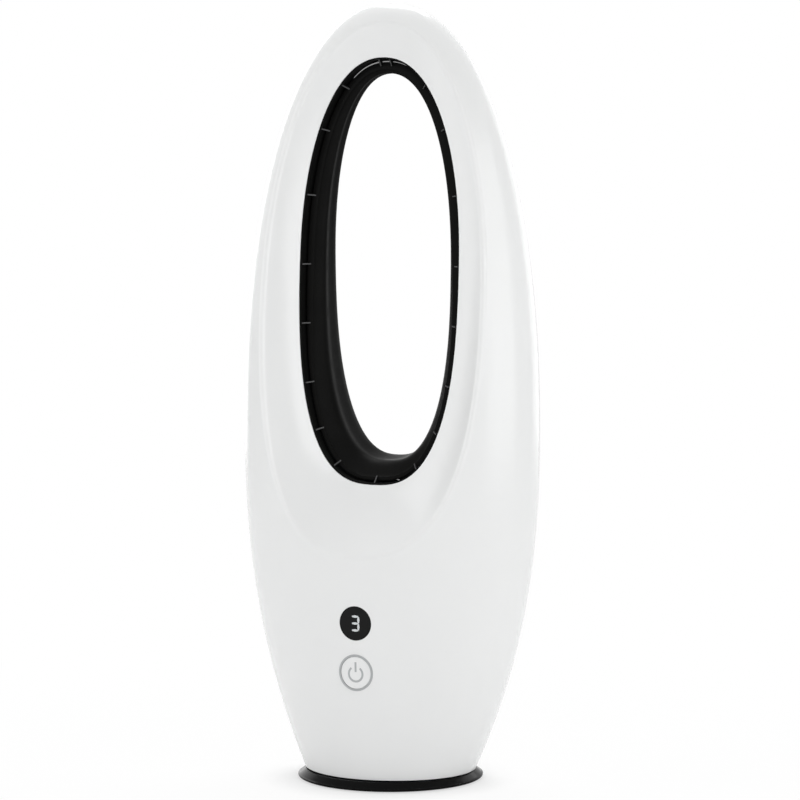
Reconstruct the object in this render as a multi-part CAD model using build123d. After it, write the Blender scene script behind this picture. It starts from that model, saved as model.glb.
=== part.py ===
from build123d import *
import math
import os

# Bladeless tower fan. Millimetres. +Z is up, -Y is the front, and the origin is the centre of
# the base on the surface that the fan stands on.

# ---- Body: an egg standing on its narrow end, cut off at the foot ----
BODY_TOP_Z = 600.0
BODY_FOOT_Z = 8.0
BODY_HALF_WIDTH = 121.8
WIDEST_Z = 275.0
FOOT_HALF_WIDTH = 67.6
BODY_HALF_DEPTH = 67.0
DEEPEST_Z = 230.0
FOOT_HALF_DEPTH = 62.0
CROWN_WIDTH_POWER = 2.17  # how square the crown is, seen from the front
CROWN_DEPTH_POWER = 1.85  # and seen from the side
FOOT_WIDTH_POWER = 2.37  # how fast the body narrows towards the foot
FOOT_DEPTH_POWER = 2.3
SHELL_WALL = 2.6
PARTING_Y = 28.0  # where the front and rear shells meet, at the floor
PARTING_LEAN = 0.037  # how far the joint line comes forward per unit of height
CREASE_ROUND = 5.0

# ---- Oval opening: its rim at the front, and the dish that leads into it ----
RIM_HALF_WIDTH = 67.05
RIM_CENTRE_Z = 398.1
RIM_RISE = 160.6
RIM_DROP = 166.7
RIM_TOP_POWER = 2.19
RIM_BOTTOM_POWER = 2.665
RIM_Y = -22.8
RIM_LEAN = 0.057
RIM_WALL = 2.0
RIM_DEPTH = 14.0
RIM_OVERLAP = 1.0  # how deep the rim's wall roots in the dish
DISH_HALF_WIDTH = 103.3
DISH_CENTRE_Z = 376.7
DISH_RISE = 233.8
DISH_DROP = 198.1
DISH_TOP_POWER = 1.91
DISH_BOTTOM_POWER = 2.57
DISH_Y = -43.1
DISH_LEAN = 0.11
DISH_HOLLOW_POWER = 1.35  # above 1 the dish is hollow, at 1 it is straight

# ---- Nozzle liner: the black ring inside the opening ----
LINER_WALL = 2.2
SLOT_WIDTH = 7.0
LIP_Y = -16.0
LIP_LEAN = 0.057
THROAT_HALF_WIDTH = 51.5
THROAT_RISE = 148.4
THROAT_DROP = 147.1
THROAT_TOP_POWER = 2.18
THROAT_BOTTOM_POWER = 2.49
THROAT_Y = 9.5
THROAT_LEAN = -0.03
REAR_EDGE_Y = 42.5
REAR_EDGE_LEAN = -0.11
REAR_GROWTH = 8.0  # how much wider the way through is at the rear than at the rim
REAR_FLARE_POWER = 1.15  # at 1 the liner's rear half is straight, above 1 it curves out
BAND_WALL = 1.2  # the liner's outer wall, which lines the rim
BAND_SETBACK = 0.5
BAND_DEPTH = 20.0
RIB_THICKNESS = 1.2
RIB_DEPTH = 14.0
RIB_SHARES_UP = (0.01, 0.35, 0.67, 0.88)  # heights of the slot's ribs, as shares of its rise
RIB_SHARES_DOWN = (0.27, 0.55, 0.77, 0.93)  # and of its drop
TOP_RIB_SPACING = 9.0
REAR_LIP_DEPTH = 8.0

# ---- Clearances ----
FIT = 0.15  # between two fixed pieces that nest
TRIM_GAP = 0.3  # around a panel let into a shell
RUNNING_GAP = 0.04  # radial, a shaft in its bearing
SLIDE_GAP = 0.2  # around the button
GLIDE_GAP = 0.1  # between the turning body and the ring it glides on

# ---- Base ----
BASE_RADIUS = 72.2
BASE_RIM_HEIGHT = 3.2
BASE_TOP_RADIUS = 66.0
BASE_TOP_Z = 7.2
BASE_SHOULDER_RADIUS = 71.0
BASE_WALL = 2.0
FOOT_PROUD = 1.0
COVER_THICKNESS = 1.6
FOOT_RADIUS = 6.0
FOOT_RING_RADIUS = 52.0
FOOT_COUNT = 5
FOOT_SEAT_DEPTH = 1.0
WEIGHT_RADIUS = 61.0
WEIGHT_THICKNESS = 2.4
BASE_SCREW_RING_RADIUS = 66.0
BASE_SCREW_COUNT = 6
SCREW_RADIUS = 1.4
SCREW_HEAD_RADIUS = 2.6
SCREW_HEAD_HEIGHT = 1.4
SCREW_SHANK = 1.35
COVER_HEAD = 0.9
COVER_HEAD_DEPTH = 1.0

# ---- Oscillation ----
SPINDLE_RADIUS = 14.0
SPINDLE_BORE = 9.0
SPINDLE_FLANGE_RADIUS = 24.0
SPINDLE_FLANGE_THICKNESS = 1.5
GEAR_SEAT_RADIUS = 12.0
GLIDE_INNER_RADIUS = 44.0
GLIDE_OUTER_RADIUS = 50.0
GLIDE_SEAT = 0.8  # how deep the glide ring sits in the base
BUSHING_WALL = 3.0
FLOOR_GAP = 1.4  # base top to the underside of the body's floor
FLOOR_THICKNESS = 3.0
BUSHING_RISE = 2.4
GEAR_MODULE = 1.0
SUN_TEETH = 44
PINION_TEETH = 12
PRESSURE_ANGLE = 25.0
GEAR_BACKLASH = 0.16
GEAR_WIDTH = 5.0
RETAINER_THICKNESS = 1.2
RETAINER_RADIUS = 15.0
RETAINER_GROOVE = 1.0
STEPPER_RADIUS = 14.0
STEPPER_HEIGHT = 19.0
STEPPER_OFFSET = 8.0
STEPPER_SHAFT_RADIUS = 2.5
STEPPER_EAR_SPACING = 35.0
STEPPER_EAR_RADIUS = 3.5
STEPPER_EAR_THICKNESS = 0.8
STEPPER_CLEARANCE = 1.3

FLOOR_SCREW_FRONT_TURN = 47.0  # turn of the floor's screws from the sides, at the front
FLOOR_SCREW_REAR_TURN = 56.0
FLOOR_SCREW_INSET = 7.0
FLOOR_BOSS_RADIUS = 4.0
FLOOR_BOSS_HEIGHT = 9.0
FLOOR_BOSS_WEB = 4.0

# ---- Fan unit, on its own upright axis ----
FAN_Y = 4.0
DUCT_RADIUS = 44.0
DUCT_WALL = 2.0
DUCT_BOTTOM_Z = 58.0
DUCT_TOP_Z = 147.0
MOUTH_FLARE = 5.0
MOUTH_HEIGHT = 9.0
DUCT_FLANGE_WIDTH = 6.0
DUCT_FLANGE_THICKNESS = 3.0
GASKET_THICKNESS = 3.0
GUIDE_PLATE_THICKNESS = 2.6
LEDGE_WIDTH = 7.0
LEDGE_SCREW_INSET = 3.6
LEDGE_THICKNESS = 3.0
TIP_CLEARANCE = 1.0
IMPELLER_BOTTOM_Z = 68.0
IMPELLER_HEIGHT = 26.0
HUB_BOTTOM_RADIUS = 12.0
HUB_TOP_RADIUS = 22.0
BLADE_COUNT = 9
BLADE_THICKNESS = 1.5
BLADE_CHORD = 28.0
BLADE_ROOT_PITCH = 52.0
BLADE_TIP_PITCH = 30.0
NOSE_HEIGHT = 7.0
MOTOR_GAP = 3.0
MOTOR_RADIUS = 23.0
MOTOR_HEIGHT = 35.0
MOTOR_WALL = 1.6
GLAND_X = 12.0
GLAND_HALF_WIDTH = 3.5
SHAFT_RADIUS = 2.5
BEARING_RADIUS = 8.0
BEARING_WIDTH = 5.0
STATOR_HEIGHT = 14.0
STATOR_TEETH = 9
STATOR_YOKE = 2.8
STATOR_BORE = 13.0
STATOR_TOOTH_WIDTH = 3.6
COIL_THICKNESS = 1.1
AIR_GAP = 0.6
MAGNET_HEIGHT = 16.0
DAMPER_THICKNESS = 2.2
DAMPER_HEIGHT = 4.0
DIFFUSER_HEIGHT = 30.0
DIFFUSER_WALL = 1.8
VANE_COUNT = 11
VANE_THICKNESS = 1.6
VANE_LEAN = 35.0

# ---- Intake at the rear ----
GRILLE_HALF_WIDTH = 58.0
GRILLE_LOW_Z = 38.0
GRILLE_HIGH_Z = 138.0
GRILLE_CORNER = 16.0
GRILLE_RECESS = 0.4
GRILLE_SHEET = 2.6
GRILLE_FLANGE = 1.6
GRILLE_FLANGE_WIDTH = 5.0
GRILLE_SLOT_HEIGHT = 3.2
GRILLE_SLOT_PITCH = 6.2
GRILLE_SLOT_LENGTH = 31.0
GRILLE_SLOT_COLUMNS = 3
GRILLE_BAR = 4.0
FILTER_THICKNESS = 2.0

# ---- Controls on the front ----
DISPLAY_Z = 128.8
DISPLAY_RADIUS = 13.1
DISPLAY_THICKNESS = 2.0
BUTTON_Z = 90.7
BUTTON_RING_RADIUS = 14.1
BUTTON_RING_WIDTH = 1.6
BUTTON_RING_DEPTH = 4.0
BUTTON_RING_PROUD = 0.3
BUTTON_TRAVEL = 0.8
BUTTON_PLATE = 1.8
BUTTON_FLANGE = 1.0
BUTTON_STEM_RADIUS = 2.5
CONTROL_BOARD_Y = -53.0  # its front face
BOARD_THICKNESS = 1.6
CONTROL_BOARD_WIDTH = 36.0
CONTROL_BOARD_MARGIN = 3.5
CONTROL_POST_OFFSET = 11.5
CONTROL_POST_RADIUS = 3.0
SWITCH_SIZE = 6.0
SWITCH_HEIGHT = 4.3
PLUNGER_RADIUS = 1.75
PLUNGER_PROUD = 1.3
PLUNGER_LENGTH = 3.0
DIGIT_WIDTH = 12.6
DIGIT_HEIGHT = 19.0
DIGIT_DEPTH = 10.0
SEGMENT_PROUD = 0.3
SEGMENT_WIDTH = 1.26
DIGIT_SPACING_X = 3.5  # from the digit's middle to its upright bars
DIGIT_SPACING_Z = 6.5  # from one level bar to the next
RECEIVER_X = 7.0
RECEIVER_WIDTH = 5.0
RECEIVER_DEPTH = 6.0
RECEIVER_HEIGHT = 6.55
RECEIVER_DOME_RADIUS = 2.0

# ---- Main board and power inlet ----
MAIN_BOARD_Y = -50.0
MAIN_BOARD_WIDTH = 60.0
MAIN_BOARD_TOP_Z = 55.0
BOARD_POST_INNER_X = 24.0
BOARD_POST_OUTER_X = 31.0
BOARD_POST_GRIP = 2.0
BOARD_POST_HEIGHT = 8.0
BOARD_SEAT = 1.5
MOTOR_PLUG_X = 26.0
MOTOR_PLUG_Z = 47.0
STEPPER_PLUG_X = 18.0
STEPPER_PLUG_Z = 30.0
INLET_PLUG_X = -26.5
INLET_PLUG_Z = 27.0
CONTROL_PLUG_X = -12.0
CONTROL_PLUG_Z = 52.0
UPPER_PLUG_X = -6.0
UPPER_PLUG_Z = 77.0
CAPACITOR_RADIUS = 4.5
CAPACITOR_LENGTH = 11.0
CAPACITOR_PLACES = ((-2.0, 40.0), (9.0, 38.0))  # x and z
HEATSINK_X = -17.0
HEATSINK_Z = 42.0
HEATSINK_SIZE = 14.0
HEATSINK_DEPTH = 9.0
HEATSINK_PLATE = 2.0
HEATSINK_GAPS = 4
HEATSINK_GAP = 1.6
HEATSINK_PITCH = 3.2
BUZZER_X = -4.0
BUZZER_Z = 24.0
BUZZER_RADIUS = 5.0
BUZZER_HEIGHT = 4.0
BUZZER_HOLE_RADIUS = 1.0
BUZZER_HOLE_DEPTH = 1.5
INLET_Z = 23.0
INLET_RADIUS = 5.5
INLET_FLANGE_RADIUS = 7.5
INLET_FLANGE = 1.2
INLET_NUT_RADIUS = 8.0
INLET_NUT = 2.0
INLET_LENGTH = 12.0
INLET_SOCKET_RADIUS = 2.75
INLET_PIN_RADIUS = 1.0
CABLE_RADIUS = 2.0
WIRE_RADIUS = 1.5
PLUG_SIZE = 6.0
GROMMET_RADIUS = 4.5

# ---- Screw columns that join the shells ----
COLUMN_RADIUS = 3.5
LOW_COLUMN_X = 58.0
LOW_COLUMN_Z = 32.0
HIGH_COLUMN_X = 94.0
HIGH_COLUMN_Z = 166.0
COLUMN_HEAD_SINK = 6.0
COLUMN_SCREW_REACH = 12.0

FLOOR_Z = BASE_TOP_Z + FLOOR_GAP
FLOOR_TOP_Z = FLOOR_Z + FLOOR_THICKNESS
GEAR_Z = FLOOR_TOP_Z + BUSHING_RISE + GLIDE_GAP
SUN_PITCH_RADIUS = GEAR_MODULE * SUN_TEETH / 2
PINION_PITCH_RADIUS = GEAR_MODULE * PINION_TEETH / 2
PINION_X = SUN_PITCH_RADIUS + PINION_PITCH_RADIUS
STEPPER_X = PINION_X + STEPPER_OFFSET
STEPPER_Z = GEAR_Z + GEAR_WIDTH + STEPPER_CLEARANCE
GUIDE_PLATE_Z = DUCT_TOP_Z + GASKET_THICKNESS
MOTOR_Z = IMPELLER_BOTTOM_Z + IMPELLER_HEIGHT + MOTOR_GAP
MOTOR_TOP_Z = MOTOR_Z + MOTOR_HEIGHT
IMPELLER_RADIUS = DUCT_RADIUS - TIP_CLEARANCE
CABLE_HOLE_Z = (MOTOR_TOP_Z + DUCT_TOP_Z - DUCT_FLANGE_THICKNESS) / 2


# ---- Shapes that several pieces share ----
def profile(z, largest, largest_z, crown_power, foot, foot_power, top_z):
    """Half-width or half-depth of the egg at height z."""
    if z >= largest_z:
        share = min((z - largest_z) / (top_z - largest_z), 1.0)
        return largest * (1 - share**crown_power) ** (1 / crown_power)
    share = (largest_z - z) / (largest_z - BODY_FOOT_Z)
    return largest - (largest - foot) * share**foot_power


def half_width(z, inset=0.0):
    """Half-width of the body at height z, with its surface moved in by inset."""
    return profile(
        z,
        BODY_HALF_WIDTH - inset,
        WIDEST_Z,
        CROWN_WIDTH_POWER,
        FOOT_HALF_WIDTH - inset,
        FOOT_WIDTH_POWER,
        BODY_TOP_Z - inset,
    )


def half_depth(z, inset=0.0):
    """Half-depth of the body at height z, with its surface moved in by inset."""
    return profile(
        z,
        BODY_HALF_DEPTH - inset,
        DEEPEST_Z,
        CROWN_DEPTH_POWER,
        FOOT_HALF_DEPTH - inset,
        FOOT_DEPTH_POWER,
        BODY_TOP_Z - inset,
    )


def surface_y(x, z, inset=0.0):
    """How far the body's surface stands from the middle plane at (x, z)."""
    return half_depth(z, inset) * math.sqrt(1 - (x / half_width(z, inset)) ** 2)


def egg(inset):
    """The solid egg with its surface moved in by inset. Inner ones run out through the foot."""
    low_z = BODY_FOOT_Z - (1.0 if inset else 0.0)
    low_share = [0, 0.16, 0.33, 0.5, 0.67, 0.84, 1]
    heights = [low_z + (WIDEST_Z - low_z) * share for share in low_share]
    crown = BODY_TOP_Z - inset - WIDEST_Z
    turns = (13, 26, 38, 49, 59, 68, 75, 80.5, 84.5, 88)
    heights += [WIDEST_Z + crown * math.sin(math.radians(turn)) for turn in turns]
    sections = [
        Pos(0, 0, z) * Ellipse(half_width(z, inset), half_depth(z, inset)) for z in heights
    ]
    return loft(sections)


def skin(outer_inset, inner_inset):
    """A skin that follows the egg between two insets."""
    return egg(outer_inset) - egg(inner_inset)


def box_between(low, high):
    """An upright box from its lowest corner to its highest."""
    size = [b - a for a, b in zip(low, high)]
    return Pos(*low) * Box(*size, align=(Align.MIN, Align.MIN, Align.MIN))


def upright(radius, low_z, high_z, x=0.0, y=0.0):
    """A cylinder along Z."""
    rod = Cylinder(radius, high_z - low_z, align=(Align.CENTER, Align.CENTER, Align.MIN))
    return Pos(x, y, low_z) * rod


def ring(outer, inner, low_z, high_z, x=0.0, y=0.0):
    """A tube along Z."""
    return upright(outer, low_z, high_z, x, y) - upright(inner, low_z, high_z, x, y)


def along_y(radius, low_y, high_y, x=0.0, z=0.0):
    """A cylinder along Y."""
    rod = Cylinder(radius, high_y - low_y, align=(Align.CENTER, Align.CENTER, Align.MIN))
    return Pos(x, low_y, z) * Rot(-90, 0, 0) * rod


def spin(points, y=0.0):
    """A solid of revolution about Z through (0, y), from (radius, height) corners."""
    outline = make_face(Polyline(*[(r, 0, z) for r, z in points], close=True))
    return Pos(0, y, 0) * revolve(outline, Axis.Z)


def around(piece, count, x=0.0, y=0.0):
    """Copies of a piece, evenly round an upright axis."""
    copies = []
    for step in range(count):
        copies.append(Pos(x, y, 0) * Rot(0, 0, 360 * step / count) * Pos(-x, -y, 0) * piece)
    return copies


def joined(pieces):
    """One solid out of pieces that touch."""
    return pieces[0].fuse(*pieces[1:]) if len(pieces) > 1 else pieces[0]


# ---- Loops round the opening ----
# A loop is (half width, centre z, rise, drop, top power, bottom power, y at the rim's centre, lean).
RIM = (
    RIM_HALF_WIDTH,
    RIM_CENTRE_Z,
    RIM_RISE,
    RIM_DROP,
    RIM_TOP_POWER,
    RIM_BOTTOM_POWER,
    RIM_Y,
    RIM_LEAN,
)
DISH = (
    DISH_HALF_WIDTH,
    DISH_CENTRE_Z,
    DISH_RISE,
    DISH_DROP,
    DISH_TOP_POWER,
    DISH_BOTTOM_POWER,
    DISH_Y,
    DISH_LEAN,
)
LIP_INSET = SLOT_WIDTH + LINER_WALL
LIP = (
    RIM_HALF_WIDTH - LIP_INSET,
    RIM_CENTRE_Z,
    RIM_RISE - LIP_INSET,
    RIM_DROP - LIP_INSET,
    RIM_TOP_POWER,
    RIM_BOTTOM_POWER,
    LIP_Y,
    LIP_LEAN,
)
THROAT = (
    THROAT_HALF_WIDTH,
    RIM_CENTRE_Z,
    THROAT_RISE,
    THROAT_DROP,
    THROAT_TOP_POWER,
    THROAT_BOTTOM_POWER,
    THROAT_Y,
    THROAT_LEAN,
)
REAR_MARGIN = REAR_GROWTH - LINER_WALL - FIT
REAR_EDGE = (
    RIM_HALF_WIDTH + REAR_MARGIN,
    RIM_CENTRE_Z,
    RIM_RISE + REAR_MARGIN,
    RIM_DROP + REAR_MARGIN,
    RIM_TOP_POWER,
    RIM_BOTTOM_POWER,
    REAR_EDGE_Y,
    REAR_EDGE_LEAN,
)


def grown(loop, margin, y_shift=0.0):
    """The loop made larger all round, and moved along Y."""
    width, centre, rise, drop, top, bottom, y, lean = loop
    return (width + margin, centre, rise + margin, drop + margin, top, bottom, y + y_shift, lean)


def between(first, last, share, depth_share=None):
    """A loop part of the way from one to another. Its plane may go at another rate."""
    depth_share = share if depth_share is None else depth_share
    shape = [a + (b - a) * share for a, b in zip(first[:6], last[:6])]
    plane = [a + (b - a) * depth_share for a, b in zip(first[6:], last[6:])]
    return tuple(shape + plane)


def loop_point(loop, turn):
    """The loop's point at a turn in degrees, from its right side and over its top."""
    width, centre, rise, drop, top, bottom, y, lean = loop
    across = math.cos(math.radians(turn))
    up = math.sin(math.radians(turn))
    power = 2 / (top if up >= 0 else bottom)
    height = rise if up >= 0 else drop
    x = math.copysign(width * abs(across) ** power, across)
    z = centre + math.copysign(height * abs(up) ** power, up)
    return Vector(x, y + lean * (z - RIM_CENTRE_Z), z)


def loop_face(loop, points=36):
    """The flat face inside a loop."""
    corners = [loop_point(loop, 360 * step / points) for step in range(points)]
    return Face(Wire([Spline(*corners, periodic=True)]))


def tunnel(loop, depth):
    """The loop's face pushed along Y."""
    return extrude(loop_face(loop), amount=depth, dir=(0, 1, 0))


def dish_cutter(wall):
    """What the dish takes out of the egg, with its surface moved into the body by wall."""
    margin = wall * 0.6
    sink = wall * 0.8
    shares = (0, 0.25, 0.5, 0.75, 1.0, 1.2)
    loops = [
        grown(between(RIM, DISH, share, share**DISH_HOLLOW_POWER), margin, sink)
        for share in shares
    ]
    cutter = loft([loop_face(loop) for loop in loops])
    return [cutter, tunnel(loops[-1], -BODY_HALF_DEPTH)]


def liner_loops(margin):
    """Loops along the liner from its front lip through the throat to its rear edge."""
    loops = []
    for share in (1, 0.72, 0.4, 0.15):
        loops.append(grown(between(THROAT, LIP, share**1.6, share), margin))
    loops.append(grown(THROAT, margin))
    for share in (0.2, 0.45, 0.7, 0.88, 1):
        loops.append(grown(between(THROAT, REAR_EDGE, share**REAR_FLARE_POWER, share), margin))
    return loops


# ---- Shells ----
def parting_half(front):
    """Everything in front of, or behind, the leaning joint line of the shells."""
    reach = BODY_TOP_Z
    low_y = PARTING_Y
    high_y = PARTING_Y - PARTING_LEAN * reach
    far_y = -reach if front else reach
    corners = [(0, low_y, 0), (0, high_y, reach), (0, far_y, reach), (0, far_y, 0)]
    outline = make_face(Polyline(*corners, close=True))
    return extrude(outline, amount=BODY_HALF_WIDTH * 1.2, dir=(1, 0, 0), both=True)


def shell_body():
    """The hollow egg with its dish, before the opening is cut and it is split into two shells."""
    outer = egg(0) - dish_cutter(0)
    crease = outer.edges().sort_by(SortBy.LENGTH)[-1]
    outer = fillet(crease, CREASE_ROUND)
    return outer - (egg(SHELL_WALL) - dish_cutter(SHELL_WALL))


def opening(margin):
    """The oval way through the whole body, made wider than the rim by margin."""
    reach = 4 * BODY_HALF_DEPTH
    return tunnel(grown(RIM, margin, -reach / 2), reach)


def ledge():
    """The shelf inside the shells that the air guide plate lies on."""
    top_z = GUIDE_PLATE_Z - FIT
    band = box_between(
        (-BODY_HALF_WIDTH, -BODY_HALF_DEPTH, top_z - LEDGE_THICKNESS),
        (BODY_HALF_WIDTH, BODY_HALF_DEPTH, top_z),
    )
    return skin(SHELL_WALL / 2, SHELL_WALL + LEDGE_WIDTH) & band


def columns(front):
    """The screw columns of one shell, from its wall to the joint line, and their bores."""
    posts = []
    bores = []
    for x, z in column_places():
        wall_y = surface_y(abs(x) + COLUMN_RADIUS, z, SHELL_WALL)
        joint_y = PARTING_Y - PARTING_LEAN * z
        bores.append((x, z, joint_y))
        if front:
            posts.append(along_y(COLUMN_RADIUS, -wall_y - SHELL_WALL, joint_y - FIT, x, z))
        else:
            posts.append(along_y(COLUMN_RADIUS, joint_y + FIT, wall_y + SHELL_WALL, x, z))
    return posts, bores


def column_places():
    """Where the columns stand, seen from the front."""
    places = []
    for side in (-1, 1):
        places.append((side * LOW_COLUMN_X, LOW_COLUMN_Z))
        places.append((side * HIGH_COLUMN_X, HIGH_COLUMN_Z))
    return places


def front_shell(body):
    """The front shell with its dish, rim, control holes, ledge and columns."""
    shell = body & parting_half(True)
    shell += tunnel(grown(RIM, RIM_WALL, RIM_OVERLAP), RIM_DEPTH - RIM_OVERLAP)
    shell -= opening(0)
    shell += ledge() & parting_half(True) & egg(SHELL_WALL / 2)
    posts, bores = columns(True)
    envelope = egg(SHELL_WALL / 2)
    for post in posts + control_posts():
        shell += post & envelope
    for x, z, joint_y in bores:
        shell -= along_y(SCREW_RADIUS, joint_y - 14, joint_y + 1, x, z)
    shell -= along_y(DISPLAY_RADIUS + FIT, -2 * BODY_HALF_DEPTH, CONTROL_BOARD_Y, 0, DISPLAY_Z)
    shell -= along_y(BUTTON_RING_RADIUS + FIT / 3, -2 * BODY_HALF_DEPTH, CONTROL_BOARD_Y, 0, BUTTON_Z)
    for x, z in control_screw_places():
        shell -= along_y(SCREW_RADIUS, CONTROL_BOARD_Y - 6, CONTROL_BOARD_Y + 1, x, z)
    return with_floor_and_ledge_screws(shell, [place for place in floor_screw_places() if place[1] < 0])


def rear_shell(body):
    """The rear shell with its grille opening, inlet hole, ledge and columns."""
    shell = body & parting_half(False)
    wall_front = grown(REAR_EDGE, LINER_WALL + FIT + RIM_WALL, -REAR_LIP_DEPTH)
    shell += tunnel(wall_front, BODY_HALF_DEPTH) & egg(SHELL_WALL / 2)
    shell -= opening(REAR_GROWTH)
    shell += ledge() & parting_half(False) & egg(SHELL_WALL / 2)
    posts, bores = columns(False)
    envelope = egg(SHELL_WALL / 2)
    for post in posts:
        shell += post & envelope
    for x, z, joint_y in bores:
        head_y = screw_head_y(x, z)
        shell -= along_y(SCREW_RADIUS + FIT, joint_y - 1, head_y, x, z)
        shell -= along_y(SCREW_HEAD_RADIUS + FIT, head_y, 2 * BODY_HALF_DEPTH, x, z)
    shell -= grille_window(0)
    shell -= along_y(INLET_RADIUS + FIT, 0, 2 * BODY_HALF_DEPTH, 0, INLET_Z)
    return with_floor_and_ledge_screws(shell, [place for place in floor_screw_places() if place[1] > 0])


def with_floor_and_ledge_screws(shell, floor_places):
    """The shell with its floor bosses, and with the bores for the floor's and plate's screws."""
    envelope = egg(SHELL_WALL / 2)
    for x, y in floor_places:
        shell += floor_boss(x, y) & envelope
        shell -= upright(SCREW_RADIUS, FLOOR_TOP_Z - 1, FLOOR_TOP_Z + FLOOR_BOSS_HEIGHT - 1, x, y)
    for x, y in ledge_screw_places():
        shell -= upright(SCREW_RADIUS, GUIDE_PLATE_Z - 2 * LEDGE_THICKNESS, GUIDE_PLATE_Z + 1, x, y)
    return shell


def screw_head_y(x, z):
    """Where the head of a column's screw seats, sunk below the rear surface."""
    return surface_y(abs(x), z) - COLUMN_HEAD_SINK


def floor_screw_places():
    """Where the floor is screwed to the shells."""
    width = half_width(BODY_FOOT_Z, FLOOR_SCREW_INSET)
    depth = half_depth(BODY_FOOT_Z, FLOOR_SCREW_INSET)
    places = []
    for side in (-1, 1):
        for turn in (-math.radians(FLOOR_SCREW_FRONT_TURN), math.radians(FLOOR_SCREW_REAR_TURN)):
            places.append((side * width * math.cos(turn), depth * math.sin(turn)))
    return places


def floor_boss(x, y):
    """A boss that stands on the floor, with a web that grows it onto the shell's wall."""
    boss = upright(FLOOR_BOSS_RADIUS, FLOOR_TOP_Z, FLOOR_TOP_Z + FLOOR_BOSS_HEIGHT, x, y)
    align = (Align.MIN, Align.CENTER, Align.MIN)
    web = Box(3 * FLOOR_SCREW_INSET, FLOOR_BOSS_WEB, FLOOR_BOSS_HEIGHT, align=align)
    return boss + Pos(x, y, FLOOR_TOP_Z) * Rot(0, 0, math.degrees(math.atan2(y, x))) * web


def control_screw_places():
    """Where the control board is screwed on, as (x, z)."""
    x = CONTROL_BOARD_WIDTH / 2 - CONTROL_BOARD_MARGIN
    places = []
    for side in (-x, x):
        places.append((side, BUTTON_Z - CONTROL_POST_OFFSET))
        places.append((side, DISPLAY_Z + CONTROL_POST_OFFSET))
    return places


def control_posts():
    """Posts from the front shell back to the control board."""
    posts = []
    for x, z in control_screw_places():
        posts.append(along_y(CONTROL_POST_RADIUS, -surface_y(x, z), CONTROL_BOARD_Y, x, z))
    return posts


def grille_window(margin):
    """A tall rounded window through the rear wall, made larger by margin."""
    width = 2 * (GRILLE_HALF_WIDTH + margin)
    height = GRILLE_HIGH_Z - GRILLE_LOW_Z + 2 * margin
    centre_z = (GRILLE_HIGH_Z + GRILLE_LOW_Z) / 2
    start_y = PARTING_Y + FIT
    outline = RectangleRounded(width, height, GRILLE_CORNER + margin)
    face = Plane(origin=(0, start_y, centre_z), x_dir=(1, 0, 0), z_dir=(0, -1, 0)) * outline
    return extrude(face, amount=BODY_HALF_DEPTH, dir=(0, 1, 0))


def nozzle_liner():
    """The black ring: a throat from lip to rear edge, and ribs that carry a band in the rim."""
    outside = loft([loop_face(loop) for loop in liner_loops(LINER_WALL)])
    inside = loft([loop_face(loop) for loop in liner_loops(0)])
    edge = grown(RIM, -FIT, BAND_SETBACK)
    band = tunnel(edge, BAND_DEPTH) - tunnel(grown(edge, -BAND_WALL, -1), BAND_DEPTH + 2)
    slope = loft([loop_face(between(edge, grown(LIP, LINER_WALL), share)) for share in (-0.3, 1.3)])
    slot = tunnel(grown(edge, -BAND_WALL / 2), RIB_DEPTH) - slope - outside
    return joined([outside - inside, band] + [slot & blade for blade in rib_blades()])


def rib_turns():
    """Turns of the ribs round the slot, in degrees from its right side."""
    turns = [-90.0]
    for share in RIB_SHARES_UP:
        turns.append(math.degrees(math.asin(share ** (RIM_TOP_POWER / 2))))
    for share in RIB_SHARES_DOWN:
        turns.append(-math.degrees(math.asin(share ** (RIM_BOTTOM_POWER / 2))))
    mirrored = [180 - turn for turn in turns if turn > -90]
    return turns + mirrored


def rib_blades():
    """Thin upright plates square to the slot, one for each rib."""
    reach = 3 * SLOT_WIDTH
    middle = grown(RIM, -SLOT_WIDTH / 2)
    plate = Box(reach, 4 * BODY_HALF_DEPTH, RIB_THICKNESS)
    blades = []
    for turn in rib_turns():
        ahead = loop_point(middle, turn + 1)
        behind = loop_point(middle, turn - 1)
        here = loop_point(middle, turn)
        lean = math.degrees(math.atan2(ahead.Z - behind.Z, ahead.X - behind.X)) - 90
        blades.append(Pos(here.X, 0, here.Z) * Rot(0, -lean, 0) * plate)
    top = loop_point(middle, 90)
    for side in (-1, 1):
        blades.append(Pos(side * TOP_RIB_SPACING / 2, 0, top.Z) * Rot(0, 90, 0) * plate)
    return blades


def intake_grille():
    """The slotted panel let into the rear shell, with a flange behind the shell's wall."""
    sheet = skin(GRILLE_RECESS, GRILLE_RECESS + GRILLE_SHEET) & grille_window(-TRIM_GAP)
    flange_out = SHELL_WALL + FIT
    flange = skin(flange_out, flange_out + GRILLE_FLANGE) & grille_window(GRILLE_FLANGE_WIDTH)
    flange -= grille_window(-GRILLE_FLANGE_WIDTH)
    panel = sheet + flange
    for slot in grille_slots():
        panel -= slot
    return panel


def grille_slots():
    """The panel's slots, in rows and columns that keep clear of its border."""
    rows = int((GRILLE_HIGH_Z - GRILLE_LOW_Z - 2 * GRILLE_CORNER / 2) / GRILLE_SLOT_PITCH)
    centre_z = (GRILLE_HIGH_Z + GRILLE_LOW_Z) / 2
    column_pitch = GRILLE_SLOT_LENGTH + GRILLE_BAR
    slots = []
    for row in range(rows):
        z = centre_z + (row - (rows - 1) / 2) * GRILLE_SLOT_PITCH
        for column in range(GRILLE_SLOT_COLUMNS):
            x = (column - (GRILLE_SLOT_COLUMNS - 1) / 2) * column_pitch
            face = Plane(origin=(x, 0, z), x_dir=(1, 0, 0), z_dir=(0, -1, 0))
            outline = face * SlotOverall(GRILLE_SLOT_LENGTH, GRILLE_SLOT_HEIGHT)
            slots.append(extrude(outline, amount=2 * BODY_HALF_DEPTH, dir=(0, 1, 0)))
    return slots


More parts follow.
